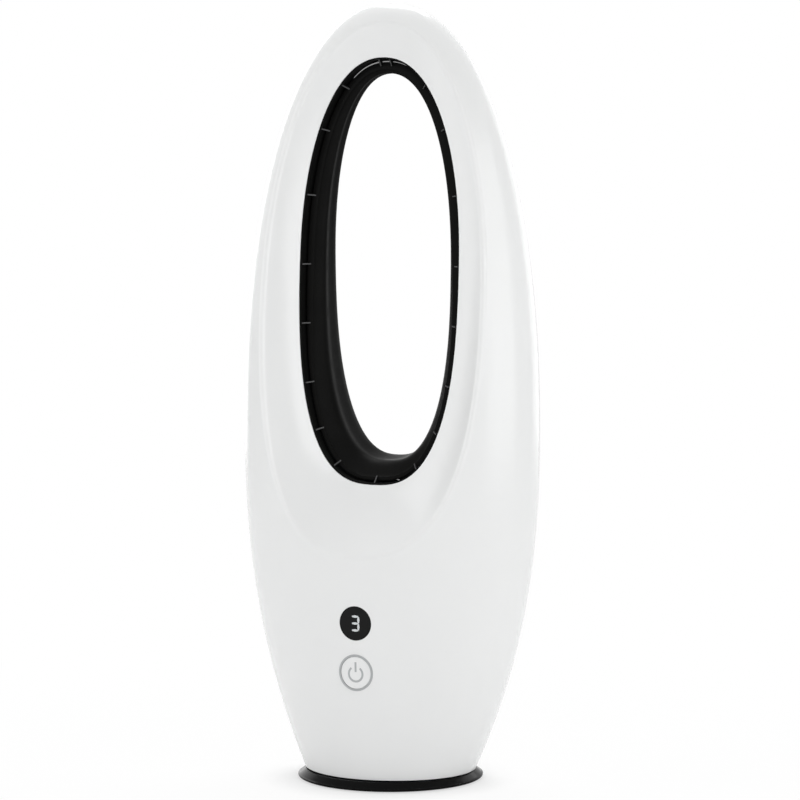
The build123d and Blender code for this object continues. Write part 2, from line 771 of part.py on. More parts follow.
def dust_filter():
    """A sheet of foam behind the grille's flange."""
    outer = SHELL_WALL + FIT + GRILLE_FLANGE + FIT
    return skin(outer, outer + FILTER_THICKNESS) & grille_window(GRILLE_FLANGE_WIDTH - FIT)


# ---- Base ----
def base_plate():
    """The round base's shell: a flat top, a sloping shoulder and a low rim."""
    roof_z = BASE_TOP_Z - BASE_WALL
    outline = [
        (SPINDLE_RADIUS + FIT, roof_z),
        (BASE_TOP_RADIUS - BASE_WALL, roof_z),
        (BASE_RADIUS - BASE_WALL, BASE_RIM_HEIGHT),
        (BASE_RADIUS - BASE_WALL, FOOT_PROUD),
        (BASE_RADIUS - 0.6, FOOT_PROUD),
        (BASE_RADIUS, FOOT_PROUD + 0.6),
        (BASE_RADIUS, BASE_RIM_HEIGHT - 0.6),
        (BASE_SHOULDER_RADIUS, BASE_RIM_HEIGHT),
        (BASE_TOP_RADIUS + 0.6, BASE_TOP_Z - 0.2),
        (BASE_TOP_RADIUS, BASE_TOP_Z),
        (SPINDLE_RADIUS + FIT, BASE_TOP_Z),
    ]
    plate = spin(outline)
    groove = ring(GLIDE_OUTER_RADIUS, GLIDE_INNER_RADIUS, BASE_TOP_Z - GLIDE_SEAT, BASE_TOP_Z + 1)
    boss_low_z = FOOT_PROUD + COVER_THICKNESS
    for x, y in base_screw_places():
        plate += upright(SCREW_HEAD_RADIUS, boss_low_z, roof_z - 0.2, x, y)
        plate -= upright(SCREW_RADIUS, boss_low_z - 1, roof_z - 0.4, x, y)
    return plate - groove


def base_screw_places():
    """Where the base's cover is screwed on."""
    places = []
    for step in range(BASE_SCREW_COUNT):
        turn = 2 * math.pi * (step + 0.5) / BASE_SCREW_COUNT
        radius = BASE_SCREW_RING_RADIUS
        places.append((radius * math.cos(turn), radius * math.sin(turn)))
    return places


def foot_places():
    """Where the rubber feet sit."""
    places = []
    for step in range(FOOT_COUNT):
        turn = 2 * math.pi * step / FOOT_COUNT - math.pi / 2
        places.append((FOOT_RING_RADIUS * math.cos(turn), FOOT_RING_RADIUS * math.sin(turn)))
    return places


def base_cover():
    """The disc that closes the base from below and clamps the spindle's flange."""
    top_z = FOOT_PROUD + COVER_THICKNESS
    flange_z = BASE_TOP_Z - BASE_WALL - SPINDLE_FLANGE_THICKNESS
    cover = upright(BASE_RADIUS - BASE_WALL - FIT, FOOT_PROUD, top_z)
    cover += ring(SPINDLE_FLANGE_RADIUS - 1, SPINDLE_BORE, top_z - 0.5, flange_z)
    for x, y in foot_places():
        cover -= upright(FOOT_RADIUS + FIT, FOOT_PROUD - 1, FOOT_PROUD + FOOT_SEAT_DEPTH, x, y)
    for x, y in base_screw_places():
        cover -= upright(SCREW_RADIUS + FIT, 0, top_z + 1, x, y)
        cover -= upright(SCREW_HEAD_RADIUS + FIT, 0, FOOT_PROUD + COVER_HEAD_DEPTH, x, y)
    return cover


def base_weight():
    """A steel ring that keeps the fan from tipping."""
    low_z = FOOT_PROUD + COVER_THICKNESS
    inner = SPINDLE_FLANGE_RADIUS + FIT
    return ring(WEIGHT_RADIUS, inner, low_z, low_z + WEIGHT_THICKNESS)


def base_feet():
    """Rubber pads set into the cover."""
    return [upright(FOOT_RADIUS, 0, FOOT_PROUD + FOOT_SEAT_DEPTH, x, y) for x, y in foot_places()]


def base_screws():
    """Screws through the cover into the plate's bosses."""
    head_z = FOOT_PROUD + COVER_HEAD_DEPTH
    screws = []
    for x, y in base_screw_places():
        head = upright(SCREW_HEAD_RADIUS, head_z - COVER_HEAD, head_z, x, y)
        screws.append(head + upright(SCREW_SHANK, head_z - 0.1, BASE_TOP_Z - BASE_WALL - 0.6, x, y))
    return screws


def spindle():
    """The hollow post that the body turns on, with its flange under the base's roof."""
    flange_z = BASE_TOP_Z - BASE_WALL - SPINDLE_FLANGE_THICKNESS
    retainer_z = GEAR_Z + GEAR_WIDTH
    top_z = retainer_z + RETAINER_THICKNESS + RETAINER_GROOVE
    groove_radius = GEAR_SEAT_RADIUS - RETAINER_GROOVE
    post = upright(SPINDLE_FLANGE_RADIUS, flange_z, BASE_TOP_Z - BASE_WALL)
    post += upright(SPINDLE_RADIUS, flange_z, GEAR_Z)
    post += upright(GEAR_SEAT_RADIUS, flange_z, top_z)
    post -= ring(GEAR_SEAT_RADIUS + 1, groove_radius, retainer_z, retainer_z + RETAINER_THICKNESS)
    return post - upright(SPINDLE_BORE, 0, top_z + 1)


def glide_ring():
    """The low-friction ring that carries the body on the base."""
    low_z = BASE_TOP_Z - GLIDE_SEAT
    return ring(GLIDE_OUTER_RADIUS - FIT, GLIDE_INNER_RADIUS + FIT, low_z, FLOOR_Z - GLIDE_GAP)


def gear(teeth, bore, low_z):
    """A spur gear whose flanks are involutes, thinned for backlash, with a tooth towards +X."""
    pitch_radius = GEAR_MODULE * teeth / 2
    base_radius = pitch_radius * math.cos(math.radians(PRESSURE_ANGLE))
    root = pitch_radius - 1.25 * GEAR_MODULE
    tip = pitch_radius + 0.95 * GEAR_MODULE

    def involute(radius):
        angle = math.acos(min(1.0, base_radius / radius))
        return math.tan(angle) - angle

    half_tooth = math.pi / (2 * teeth) - GEAR_BACKLASH / (4 * pitch_radius)
    start = max(root, base_radius)
    flank_radii = [start + (tip - start) * share for share in (0, 0.25, 0.5, 0.75, 1)]
    flank = [(r, half_tooth + involute(pitch_radius) - involute(r)) for r in flank_radii]
    if root < base_radius:
        flank.insert(0, (root, flank[0][1]))
    corners = []
    for tooth in range(teeth):
        centre = 2 * math.pi * tooth / teeth
        for radius, angle in flank:
            corners.append((radius * math.cos(centre - angle), radius * math.sin(centre - angle)))
        for radius, angle in reversed(flank):
            corners.append((radius * math.cos(centre + angle), radius * math.sin(centre + angle)))
    wheel = extrude(make_face(Polyline(*corners, close=True)), amount=GEAR_WIDTH)
    return Pos(0, 0, low_z) * wheel - upright(bore, low_z - 1, low_z + GEAR_WIDTH + 1)


def sun_gear():
    """The gear fixed to the spindle."""
    return gear(SUN_TEETH, GEAR_SEAT_RADIUS + RUNNING_GAP, GEAR_Z)


def pinion_gear():
    """The stepper's gear, turned so that a gap meets the sun gear's tooth."""
    wheel = gear(PINION_TEETH, STEPPER_SHAFT_RADIUS + RUNNING_GAP, GEAR_Z)
    return Pos(PINION_X, 0, 0) * Rot(0, 0, 180 / PINION_TEETH) * wheel


def retaining_ring():
    """The ring in the spindle's groove that keeps the gear and the body on."""
    low_z = GEAR_Z + GEAR_WIDTH
    inner = GEAR_SEAT_RADIUS - RETAINER_GROOVE + RUNNING_GAP
    return ring(RETAINER_RADIUS, inner, low_z, low_z + RETAINER_THICKNESS)


# ---- Floor of the body and the oscillation motor ----
def stepper_ear_places():
    """Where the stepper's ears are screwed down."""
    return [(STEPPER_X, side * STEPPER_EAR_SPACING / 2) for side in (-1, 1)]


def chassis_floor():
    """The floor of the body, with posts for the stepper and slots for the main board."""
    outline = Ellipse(half_width(FLOOR_Z, SHELL_WALL + FIT), half_depth(FLOOR_Z, SHELL_WALL + FIT))
    floor = Pos(0, 0, FLOOR_Z) * extrude(outline, amount=FLOOR_THICKNESS)
    floor -= upright(SPINDLE_RADIUS + BUSHING_WALL + FIT, FLOOR_Z - 1, FLOOR_TOP_Z + 1)
    for x, y in stepper_ear_places():
        floor += upright(STEPPER_EAR_RADIUS, FLOOR_TOP_Z - 1, STEPPER_Z, x, y)
        floor -= upright(SCREW_RADIUS, FLOOR_TOP_Z, STEPPER_Z + 1, x, y)
    slot = main_board_blank(FIT)
    for side in (-1, 1):
        low_x, high_x = sorted((side * BOARD_POST_INNER_X, side * BOARD_POST_OUTER_X))
        low = (low_x, MAIN_BOARD_Y - BOARD_POST_GRIP, FLOOR_TOP_Z - 1)
        high_y = MAIN_BOARD_Y + BOARD_THICKNESS + BOARD_POST_GRIP
        floor += box_between(low, (high_x, high_y, FLOOR_TOP_Z + BOARD_POST_HEIGHT))
    floor -= slot
    for x, y in floor_screw_places():
        floor -= upright(SCREW_RADIUS + FIT, FLOOR_Z - 1, FLOOR_TOP_Z + 1, x, y)
        floor -= upright(SCREW_HEAD_RADIUS + FIT, FLOOR_Z - 1, FLOOR_Z + SCREW_HEAD_HEIGHT, x, y)
    return floor


def floor_screws():
    """Screws up through the floor into the shells."""
    screws = []
    head_z = FLOOR_Z + SCREW_HEAD_HEIGHT
    for x, y in floor_screw_places():
        screw = upright(SCREW_HEAD_RADIUS, FLOOR_Z + FIT, head_z, x, y)
        screws.append(screw + upright(SCREW_SHANK, head_z - 0.5, FLOOR_TOP_Z + 7, x, y))
    return screws


def pivot_bushing():
    """The flanged bush in the floor that turns on the spindle."""
    inner = SPINDLE_RADIUS + RUNNING_GAP
    outer = SPINDLE_RADIUS + BUSHING_WALL
    bush = ring(outer, inner, FLOOR_Z, FLOOR_TOP_Z + BUSHING_RISE)
    return bush + ring(outer + BUSHING_WALL, inner, FLOOR_TOP_Z, FLOOR_TOP_Z + BUSHING_RISE / 2)


def stepper_motor():
    """The flat round stepper, upside down on its posts, with its off-centre shaft hole."""
    motor = upright(STEPPER_RADIUS, STEPPER_Z, STEPPER_Z + STEPPER_HEIGHT, STEPPER_X)
    for x, y in stepper_ear_places():
        ear_top_z = STEPPER_Z + STEPPER_EAR_THICKNESS
        motor += upright(STEPPER_EAR_RADIUS, STEPPER_Z, ear_top_z, x, y)
        low = (x - STEPPER_EAR_RADIUS, min(0, y), STEPPER_Z)
        motor += box_between(low, (x + STEPPER_EAR_RADIUS, max(0, y), ear_top_z))
        motor -= upright(SCREW_RADIUS + FIT, STEPPER_Z - 1, ear_top_z + 1, x, y)
    hole = STEPPER_SHAFT_RADIUS + RUNNING_GAP
    return motor - upright(hole, STEPPER_Z - 1, STEPPER_Z + STEPPER_HEIGHT / 2, PINION_X)


def stepper_shaft():
    """The stepper's output shaft."""
    return upright(STEPPER_SHAFT_RADIUS, GEAR_Z, STEPPER_Z + STEPPER_HEIGHT / 2 - 1, PINION_X)


def stepper_screws():
    """Screws through the stepper's ears into the posts."""
    screws = []
    seat_z = STEPPER_Z + STEPPER_EAR_THICKNESS
    for x, y in stepper_ear_places():
        head = upright(SCREW_HEAD_RADIUS, seat_z, seat_z + SCREW_HEAD_HEIGHT, x, y)
        screws.append(head + upright(SCREW_SHANK, FLOOR_TOP_Z + 1, seat_z + 0.5, x, y))
    return screws


# ---- Fan unit ----
def fan_duct():
    """The round duct with a flared mouth below and a flange above."""
    inner = DUCT_RADIUS
    outer = DUCT_RADIUS + DUCT_WALL
    mouth_z = DUCT_BOTTOM_Z + MOUTH_HEIGHT
    outline = [
        (inner + MOUTH_FLARE, DUCT_BOTTOM_Z),
        (outer + MOUTH_FLARE, DUCT_BOTTOM_Z),
        (outer + MOUTH_FLARE, DUCT_BOTTOM_Z + DUCT_WALL),
        (outer + MOUTH_FLARE * 0.3, DUCT_BOTTOM_Z + MOUTH_HEIGHT * 0.55),
        (outer, mouth_z),
        (outer, DUCT_TOP_Z - DUCT_FLANGE_THICKNESS),
        (outer + DUCT_FLANGE_WIDTH, DUCT_TOP_Z - DUCT_FLANGE_THICKNESS),
        (outer + DUCT_FLANGE_WIDTH, DUCT_TOP_Z),
        (inner, DUCT_TOP_Z),
        (inner, mouth_z),
        (inner + MOUTH_FLARE * 0.3, DUCT_BOTTOM_Z + MOUTH_HEIGHT * 0.45),
    ]
    duct = spin(outline, FAN_Y)
    duct -= cable_hole(GROMMET_RADIUS)
    for x, y in duct_screw_places():
        duct -= upright(SCREW_RADIUS, DUCT_TOP_Z - DUCT_FLANGE_THICKNESS - 1, DUCT_TOP_Z + 1, x, y)
    return duct


def cable_hole(radius, low_x=0.0, high_x=4 * DUCT_RADIUS):
    """A rod along +X at the height where the motor's cable leaves the duct."""
    rod = Cylinder(radius, high_x - low_x, align=(Align.CENTER, Align.CENTER, Align.MIN))
    return Pos(low_x, FAN_Y, CABLE_HOLE_Z) * Rot(0, 90, 0) * rod


def cable_grommet():
    """The rubber grommet in the duct's wall."""
    outer_x = DUCT_RADIUS + DUCT_WALL
    inner_x = DUCT_RADIUS - 1
    grommet = cable_hole(GROMMET_RADIUS - FIT / 3, inner_x, outer_x + 2)
    grommet += cable_hole(GROMMET_RADIUS + 1.5, outer_x + FIT, outer_x + 2)
    return grommet - cable_hole(CABLE_RADIUS + FIT)


def duct_screw_places():
    """Where the plate is screwed to the duct's flange."""
    radius = DUCT_RADIUS + DUCT_WALL + DUCT_FLANGE_WIDTH / 2
    places = []
    for step in range(4):
        turn = math.radians(45 + 90 * step)
        places.append((radius * math.cos(turn), FAN_Y + radius * math.sin(turn)))
    return places


def ledge_screw_places():
    """Where the plate is screwed to the ledge inside the shells."""
    z = GUIDE_PLATE_Z
    inset = SHELL_WALL + LEDGE_SCREW_INSET
    places = []
    for turn in (35, 145, 215, 325):
        across = math.cos(math.radians(turn))
        deep = math.sin(math.radians(turn))
        places.append((half_width(z, inset) * across, half_depth(z, inset) * deep))
    return places


def duct_gasket():
    """The soft ring that seals the duct to the plate."""
    outer = DUCT_RADIUS + DUCT_WALL + DUCT_FLANGE_WIDTH
    gasket = ring(outer, DUCT_RADIUS, DUCT_TOP_Z, GUIDE_PLATE_Z, 0, FAN_Y)
    for x, y in duct_screw_places():
        gasket -= upright(SCREW_RADIUS + FIT, DUCT_TOP_Z - 1, GUIDE_PLATE_Z + 1, x, y)
    return gasket


def air_guide_plate():
    """The plate that divides the foot from the hollow ring, with the duct's outlet in it."""
    inset = SHELL_WALL + FIT
    outline = Ellipse(half_width(GUIDE_PLATE_Z, inset), half_depth(GUIDE_PLATE_Z, inset))
    plate = Pos(0, 0, GUIDE_PLATE_Z) * extrude(outline, amount=GUIDE_PLATE_THICKNESS)
    plate -= upright(DUCT_RADIUS, GUIDE_PLATE_Z - 1, GUIDE_PLATE_Z + 5, 0, FAN_Y)
    for x, y in duct_screw_places() + ledge_screw_places():
        plate -= upright(SCREW_RADIUS + FIT, GUIDE_PLATE_Z - 1, GUIDE_PLATE_Z + 5, x, y)
    return plate


def plate_screws():
    """Screws through the plate into the duct's flange and the ledge."""
    seat_z = GUIDE_PLATE_Z + GUIDE_PLATE_THICKNESS
    screws = []
    for x, y in duct_screw_places():
        head = upright(SCREW_HEAD_RADIUS, seat_z, seat_z + SCREW_HEAD_HEIGHT, x, y)
        tip_z = DUCT_TOP_Z - DUCT_FLANGE_THICKNESS
        screws.append(head + upright(SCREW_SHANK, tip_z, seat_z + 0.5, x, y))
    for x, y in ledge_screw_places():
        head = upright(SCREW_HEAD_RADIUS, seat_z, seat_z + SCREW_HEAD_HEIGHT, x, y)
        screws.append(head + upright(SCREW_SHANK, GUIDE_PLATE_Z - LEDGE_THICKNESS, seat_z + 0.5, x, y))
    return screws


def impeller():
    """The mixed-flow wheel: a conical hub with twisted blades."""
    top_z = IMPELLER_BOTTOM_Z + IMPELLER_HEIGHT
    bore = SHAFT_RADIUS + RUNNING_GAP
    hub = spin(
        [
            (bore, IMPELLER_BOTTOM_Z),
            (HUB_BOTTOM_RADIUS, IMPELLER_BOTTOM_Z),
            (HUB_TOP_RADIUS, top_z - 4),
            (HUB_TOP_RADIUS, top_z),
            (bore, top_z),
        ],
        FAN_Y,
    )
    middle_z = IMPELLER_BOTTOM_Z + IMPELLER_HEIGHT / 2
    sections = []
    for share in (0, 0.5, 1):
        x = HUB_BOTTOM_RADIUS * 0.7 + (IMPELLER_RADIUS + 4 - HUB_BOTTOM_RADIUS * 0.7) * share
        pitch = BLADE_ROOT_PITCH + (BLADE_TIP_PITCH - BLADE_ROOT_PITCH) * share
        place = Plane(origin=(x, FAN_Y, middle_z), x_dir=(0, 1, 0), z_dir=(1, 0, 0))
        sections.append(place * Rot(0, 0, pitch) * Rectangle(BLADE_CHORD, BLADE_THICKNESS))
    space = ring(IMPELLER_RADIUS, HUB_BOTTOM_RADIUS - 3, IMPELLER_BOTTOM_Z, top_z, 0, FAN_Y)
    blade = loft(sections) & space
    return joined([hub] + around(blade, BLADE_COUNT, 0, FAN_Y))


def impeller_nut():
    """The domed nut that holds the wheel on the shaft."""
    low_z = IMPELLER_BOTTOM_Z - NOSE_HEIGHT
    bore = SHAFT_RADIUS + RUNNING_GAP
    outline = [
        (bore, IMPELLER_BOTTOM_Z),
        (HUB_BOTTOM_RADIUS, IMPELLER_BOTTOM_Z),
        (HUB_BOTTOM_RADIUS * 0.85, low_z + NOSE_HEIGHT * 0.45),
        (HUB_BOTTOM_RADIUS * 0.5, low_z + NOSE_HEIGHT * 0.1),
        (bore, low_z),
    ]
    return spin(outline, FAN_Y)


def motor_shaft():
    """The shaft through both bearings, down to the nut."""
    low_z = IMPELLER_BOTTOM_Z - NOSE_HEIGHT + 1
    return upright(SHAFT_RADIUS, low_z, MOTOR_TOP_Z - MOTOR_WALL - FIT, 0, FAN_Y)


def motor_housing():
    """The motor's can, closed above, with a bearing seat and a gland for the cable."""
    top_z = MOTOR_TOP_Z - MOTOR_WALL
    can = upright(MOTOR_RADIUS, MOTOR_Z, MOTOR_TOP_Z, 0, FAN_Y)
    can -= upright(MOTOR_RADIUS - MOTOR_WALL, MOTOR_Z - 1, top_z, 0, FAN_Y)
    can += ring(BEARING_RADIUS + DUCT_WALL, BEARING_RADIUS, top_z - BEARING_WIDTH, top_z, 0, FAN_Y)
    low = (0, FAN_Y - GLAND_HALF_WIDTH, MOTOR_TOP_Z - 0.5)
    return can + box_between(low, (GLAND_X, FAN_Y + GLAND_HALF_WIDTH, CABLE_HOLE_Z + GLAND_HALF_WIDTH))


def motor_end_cap():
    """The lower end cap with its bearing seat."""
    inner = MOTOR_RADIUS - MOTOR_WALL - RUNNING_GAP
    seat_z = MOTOR_Z + MOTOR_WALL
    cap = ring(inner, SHAFT_RADIUS + 1, MOTOR_Z, seat_z, 0, FAN_Y)
    seat = ring(BEARING_RADIUS + DUCT_WALL, BEARING_RADIUS, seat_z, seat_z + BEARING_WIDTH, 0, FAN_Y)
    return cap + seat


def motor_bearings():
    """Two ball bearings, drawn as closed rings that run on the shaft."""
    inner = SHAFT_RADIUS + RUNNING_GAP
    low = MOTOR_Z + MOTOR_WALL
    high = MOTOR_TOP_Z - MOTOR_WALL - BEARING_WIDTH
    bearings = []
    for z in (low, high):
        race = ring(BEARING_RADIUS - RUNNING_GAP, inner, z, z + BEARING_WIDTH, 0, FAN_Y)
        groove = ring(BEARING_RADIUS - 2, SHAFT_RADIUS + 1.6, z - 1, z + 0.5, 0, FAN_Y)
        bearings.append(race - groove)
    return bearings


def stator_low_z():
    """Underside of the stator, midway between the bearings."""
    return MOTOR_Z + (MOTOR_HEIGHT - STATOR_HEIGHT) / 2


def stator_core():
    """The laminated ring with its teeth."""
    low_z = stator_low_z()
    high_z = low_z + STATOR_HEIGHT
    outer = MOTOR_RADIUS - MOTOR_WALL - RUNNING_GAP
    yoke_inner = outer - STATOR_YOKE
    shoe = ring(STATOR_BORE + 1.2, STATOR_BORE, low_z, high_z, 0, FAN_Y)
    half = STATOR_TOOTH_WIDTH / 2
    low = (STATOR_BORE + 0.6, FAN_Y - half, low_z)
    tooth = box_between(low, (yoke_inner + 0.5, FAN_Y + half, high_z))
    tip_window = box_between((0, FAN_Y - 2 * half, low_z), (STATOR_BORE + 2, FAN_Y + 2 * half, high_z))
    arm = tooth + (shoe & tip_window)
    yoke = ring(outer, yoke_inner, low_z, high_z, 0, FAN_Y)
    return joined([yoke] + around(arm, STATOR_TEETH, 0, FAN_Y))


def stator_windings():
    """A coil round each tooth."""
    low_z = stator_low_z()
    high_z = low_z + STATOR_HEIGHT
    yoke_inner = MOTOR_RADIUS - MOTOR_WALL - RUNNING_GAP - STATOR_YOKE
    low_x = STATOR_BORE + 1.2 + FIT
    high_x = yoke_inner - 2 * FIT
    inner = STATOR_TOOTH_WIDTH / 2 + RUNNING_GAP
    outer = inner + COIL_THICKNESS
    gap = RUNNING_GAP
    coil = box_between(
        (low_x, FAN_Y - outer, low_z - gap - COIL_THICKNESS),
        (high_x, FAN_Y + outer, high_z + gap + COIL_THICKNESS),
    )
    coil -= box_between((0, FAN_Y - inner, low_z - gap), (DUCT_RADIUS, FAN_Y + inner, high_z + gap))
    return around(coil, STATOR_TEETH, 0, FAN_Y)


def rotor_magnet():
    """The magnet on the shaft."""
    low_z = MOTOR_Z + (MOTOR_HEIGHT - MAGNET_HEIGHT) / 2
    outer = STATOR_BORE - AIR_GAP
    return ring(outer, SHAFT_RADIUS + RUNNING_GAP, low_z, low_z + MAGNET_HEIGHT, 0, FAN_Y)


def diffuser_low_z():
    """Underside of the diffuser."""
    return MOTOR_Z + (MOTOR_HEIGHT - DIFFUSER_HEIGHT) / 2


def motor_dampers():
    """Two rubber rings between the motor and the diffuser."""
    inner = MOTOR_RADIUS + RUNNING_GAP
    outer = MOTOR_RADIUS + DAMPER_THICKNESS - RUNNING_GAP
    low_z = diffuser_low_z()
    high_z = low_z + DIFFUSER_HEIGHT - DAMPER_HEIGHT
    return [ring(outer, inner, z, z + DAMPER_HEIGHT, 0, FAN_Y) for z in (low_z, high_z)]


def diffuser():
    """Two rings joined by leaning vanes; it holds the motor inside the duct."""
    low_z = diffuser_low_z()
    high_z = low_z + DIFFUSER_HEIGHT
    inner = MOTOR_RADIUS + DAMPER_THICKNESS
    outer = DUCT_RADIUS - FIT / 2
    rings = [
        ring(inner + DIFFUSER_WALL, inner, low_z, high_z, 0, FAN_Y),
        ring(outer, outer - DIFFUSER_WALL, low_z, high_z, 0, FAN_Y),
    ]
    annulus = ring(outer - DIFFUSER_WALL / 2, inner + DIFFUSER_WALL / 2, low_z, high_z, 0, FAN_Y)
    middle_z = (low_z + high_z) / 2
    from_axis = (Align.MIN, Align.CENTER, Align.CENTER)
    plate = Box(DUCT_RADIUS, VANE_THICKNESS, 2 * DIFFUSER_HEIGHT, align=from_axis)
    vane = Pos(MOTOR_RADIUS * 0.6, FAN_Y, middle_z) * Rot(VANE_LEAN, 0, 0) * plate & annulus
    return joined(rings + around(vane, VANE_COUNT, 0, FAN_Y))


# ---- Controls on the front ----
def display_lens():
    """The round black window, flush with the shell."""
    back_y = -half_depth(DISPLAY_Z) + DISPLAY_THICKNESS
    return egg(0) & along_y(DISPLAY_RADIUS, -2 * BODY_HALF_DEPTH, back_y, 0, DISPLAY_Z)


def digit_display():
    """The block of the single-digit display behind the window."""
    front_y = CONTROL_BOARD_Y - DIGIT_DEPTH
    low = (-DIGIT_WIDTH / 2, front_y, DISPLAY_Z - DIGIT_HEIGHT / 2)
    return box_between(low, (DIGIT_WIDTH / 2, CONTROL_BOARD_Y, DISPLAY_Z + DIGIT_HEIGHT / 2))


def digit_segments():
    """The seven light bars on the face of the block."""
    flat = Box(2 * DIGIT_SPACING_X - SEGMENT_WIDTH, SEGMENT_PROUD, SEGMENT_WIDTH)
    tall = Box(SEGMENT_WIDTH, SEGMENT_PROUD, DIGIT_SPACING_Z - SEGMENT_WIDTH)
    y = CONTROL_BOARD_Y - DIGIT_DEPTH - SEGMENT_PROUD / 2
    bars = [Pos(0, y, DISPLAY_Z + level * DIGIT_SPACING_Z) * flat for level in (-1, 0, 1)]
    for x in (-DIGIT_SPACING_X, DIGIT_SPACING_X):
        for level in (-0.5, 0.5):
            bars.append(Pos(x, y, DISPLAY_Z + level * DIGIT_SPACING_Z) * tall)
    return bars


def button_ring():
    """The bright ring let into the shell, in which the button slides."""
    back_y = -half_depth(BUTTON_Z) + BUTTON_RING_DEPTH
    inner = BUTTON_RING_RADIUS - BUTTON_RING_WIDTH
    disc = along_y(BUTTON_RING_RADIUS, -2 * BODY_HALF_DEPTH, back_y, 0, BUTTON_Z)
    return egg(-BUTTON_RING_PROUD) & disc - along_y(inner, -2 * BODY_HALF_DEPTH, 0, 0, BUTTON_Z)


def power_button():
    """The push button: a cap, a skirt whose flange holds it in the ring, and a stem."""
    front_y = -half_depth(BUTTON_Z)
    ring_back_y = front_y + BUTTON_RING_DEPTH
    radius = BUTTON_RING_RADIUS - BUTTON_RING_WIDTH - SLIDE_GAP
    flange_y = ring_back_y + TRIM_GAP
    back_y = flange_y + BUTTON_FLANGE
    cap = along_y(radius, -2 * BODY_HALF_DEPTH, back_y, 0, BUTTON_Z)
    cap -= along_y(radius - BUTTON_PLATE, front_y + BUTTON_PLATE, back_y + 1, 0, BUTTON_Z)
    cap = egg(0) & cap
    flange = along_y(BUTTON_RING_RADIUS - SLIDE_GAP, flange_y, back_y, 0, BUTTON_Z)
    cap += flange - along_y(radius - BUTTON_PLATE, flange_y - 1, back_y + 1, 0, BUTTON_Z)
    return cap + along_y(BUTTON_STEM_RADIUS, front_y + 1, plunger_y(), 0, BUTTON_Z)


def plunger_y():
    """The front end of the switch's plunger."""
    return CONTROL_BOARD_Y - SWITCH_HEIGHT - PLUNGER_PROUD


def switch_plunger():
    """The plunger between the button's stem and the switch."""
    return along_y(PLUNGER_RADIUS, plunger_y(), plunger_y() + PLUNGER_LENGTH, 0, BUTTON_Z)


def button_switch():
    """The body of the push switch, with the hole that its plunger moves in."""
    half = SWITCH_SIZE / 2
    front_y = CONTROL_BOARD_Y - SWITCH_HEIGHT
    body = box_between((-half, front_y, BUTTON_Z - half), (half, CONTROL_BOARD_Y, BUTTON_Z + half))
    depth_y = plunger_y() + PLUNGER_LENGTH + BUTTON_TRAVEL + FIT
    return body - along_y(PLUNGER_RADIUS + RUNNING_GAP, front_y - 1, depth_y, 0, BUTTON_Z)


def remote_receiver():
    """The infra-red receiver behind the edge of the window."""
    front_y = CONTROL_BOARD_Y - RECEIVER_DEPTH
    low_z = DISPLAY_Z - RECEIVER_HEIGHT
    high = (RECEIVER_X + RECEIVER_WIDTH, CONTROL_BOARD_Y, DISPLAY_Z)
    block = box_between((RECEIVER_X, front_y, low_z), high)
    middle_x = RECEIVER_X + RECEIVER_WIDTH / 2
    return block + Pos(middle_x, front_y, (low_z + DISPLAY_Z) / 2) * Sphere(RECEIVER_DOME_RADIUS)


def control_board():
    """The small upright board behind the controls."""
    low_z = BUTTON_Z - CONTROL_POST_OFFSET - CONTROL_BOARD_MARGIN
    high_z = DISPLAY_Z + CONTROL_POST_OFFSET + CONTROL_BOARD_MARGIN
    half = CONTROL_BOARD_WIDTH / 2
    back_y = CONTROL_BOARD_Y + BOARD_THICKNESS
    board = box_between((-half, CONTROL_BOARD_Y, low_z), (half, back_y, high_z))
    for x, z in control_screw_places():
        board -= along_y(SCREW_RADIUS + FIT, CONTROL_BOARD_Y - 1, back_y + 1, x, z)
    return board


def control_screws():
    """Screws through the control board into its posts."""
    seat_y = CONTROL_BOARD_Y + BOARD_THICKNESS
    screws = []
    for x, z in control_screw_places():
        head = along_y(SCREW_HEAD_RADIUS, seat_y, seat_y + SCREW_HEAD_HEIGHT, x, z)
        screws.append(head + along_y(SCREW_SHANK, CONTROL_BOARD_Y - 5, seat_y + 0.5, x, z))
    return screws


# ---- Main board and power inlet ----
def main_board_blank(margin):
    """The main board's outline, made thicker and wider by margin for the slots that hold it."""
    half = MAIN_BOARD_WIDTH / 2 + margin
    low = (-half, MAIN_BOARD_Y - margin, FLOOR_TOP_Z + BOARD_SEAT - margin)
    return box_between(low, (half, MAIN_BOARD_Y + BOARD_THICKNESS + margin, MAIN_BOARD_TOP_Z))


def main_board():
    """The upright main board at the front of the foot."""
    return main_board_blank(0)


def board_block(x, z, width, depth, height):
    """A block on the rear face of the main board, centred at (x, z)."""
    y = MAIN_BOARD_Y + BOARD_THICKNESS
    low = (x - width / 2, y, z - height / 2)
    return box_between(low, (x + width / 2, y + depth, z + height / 2))


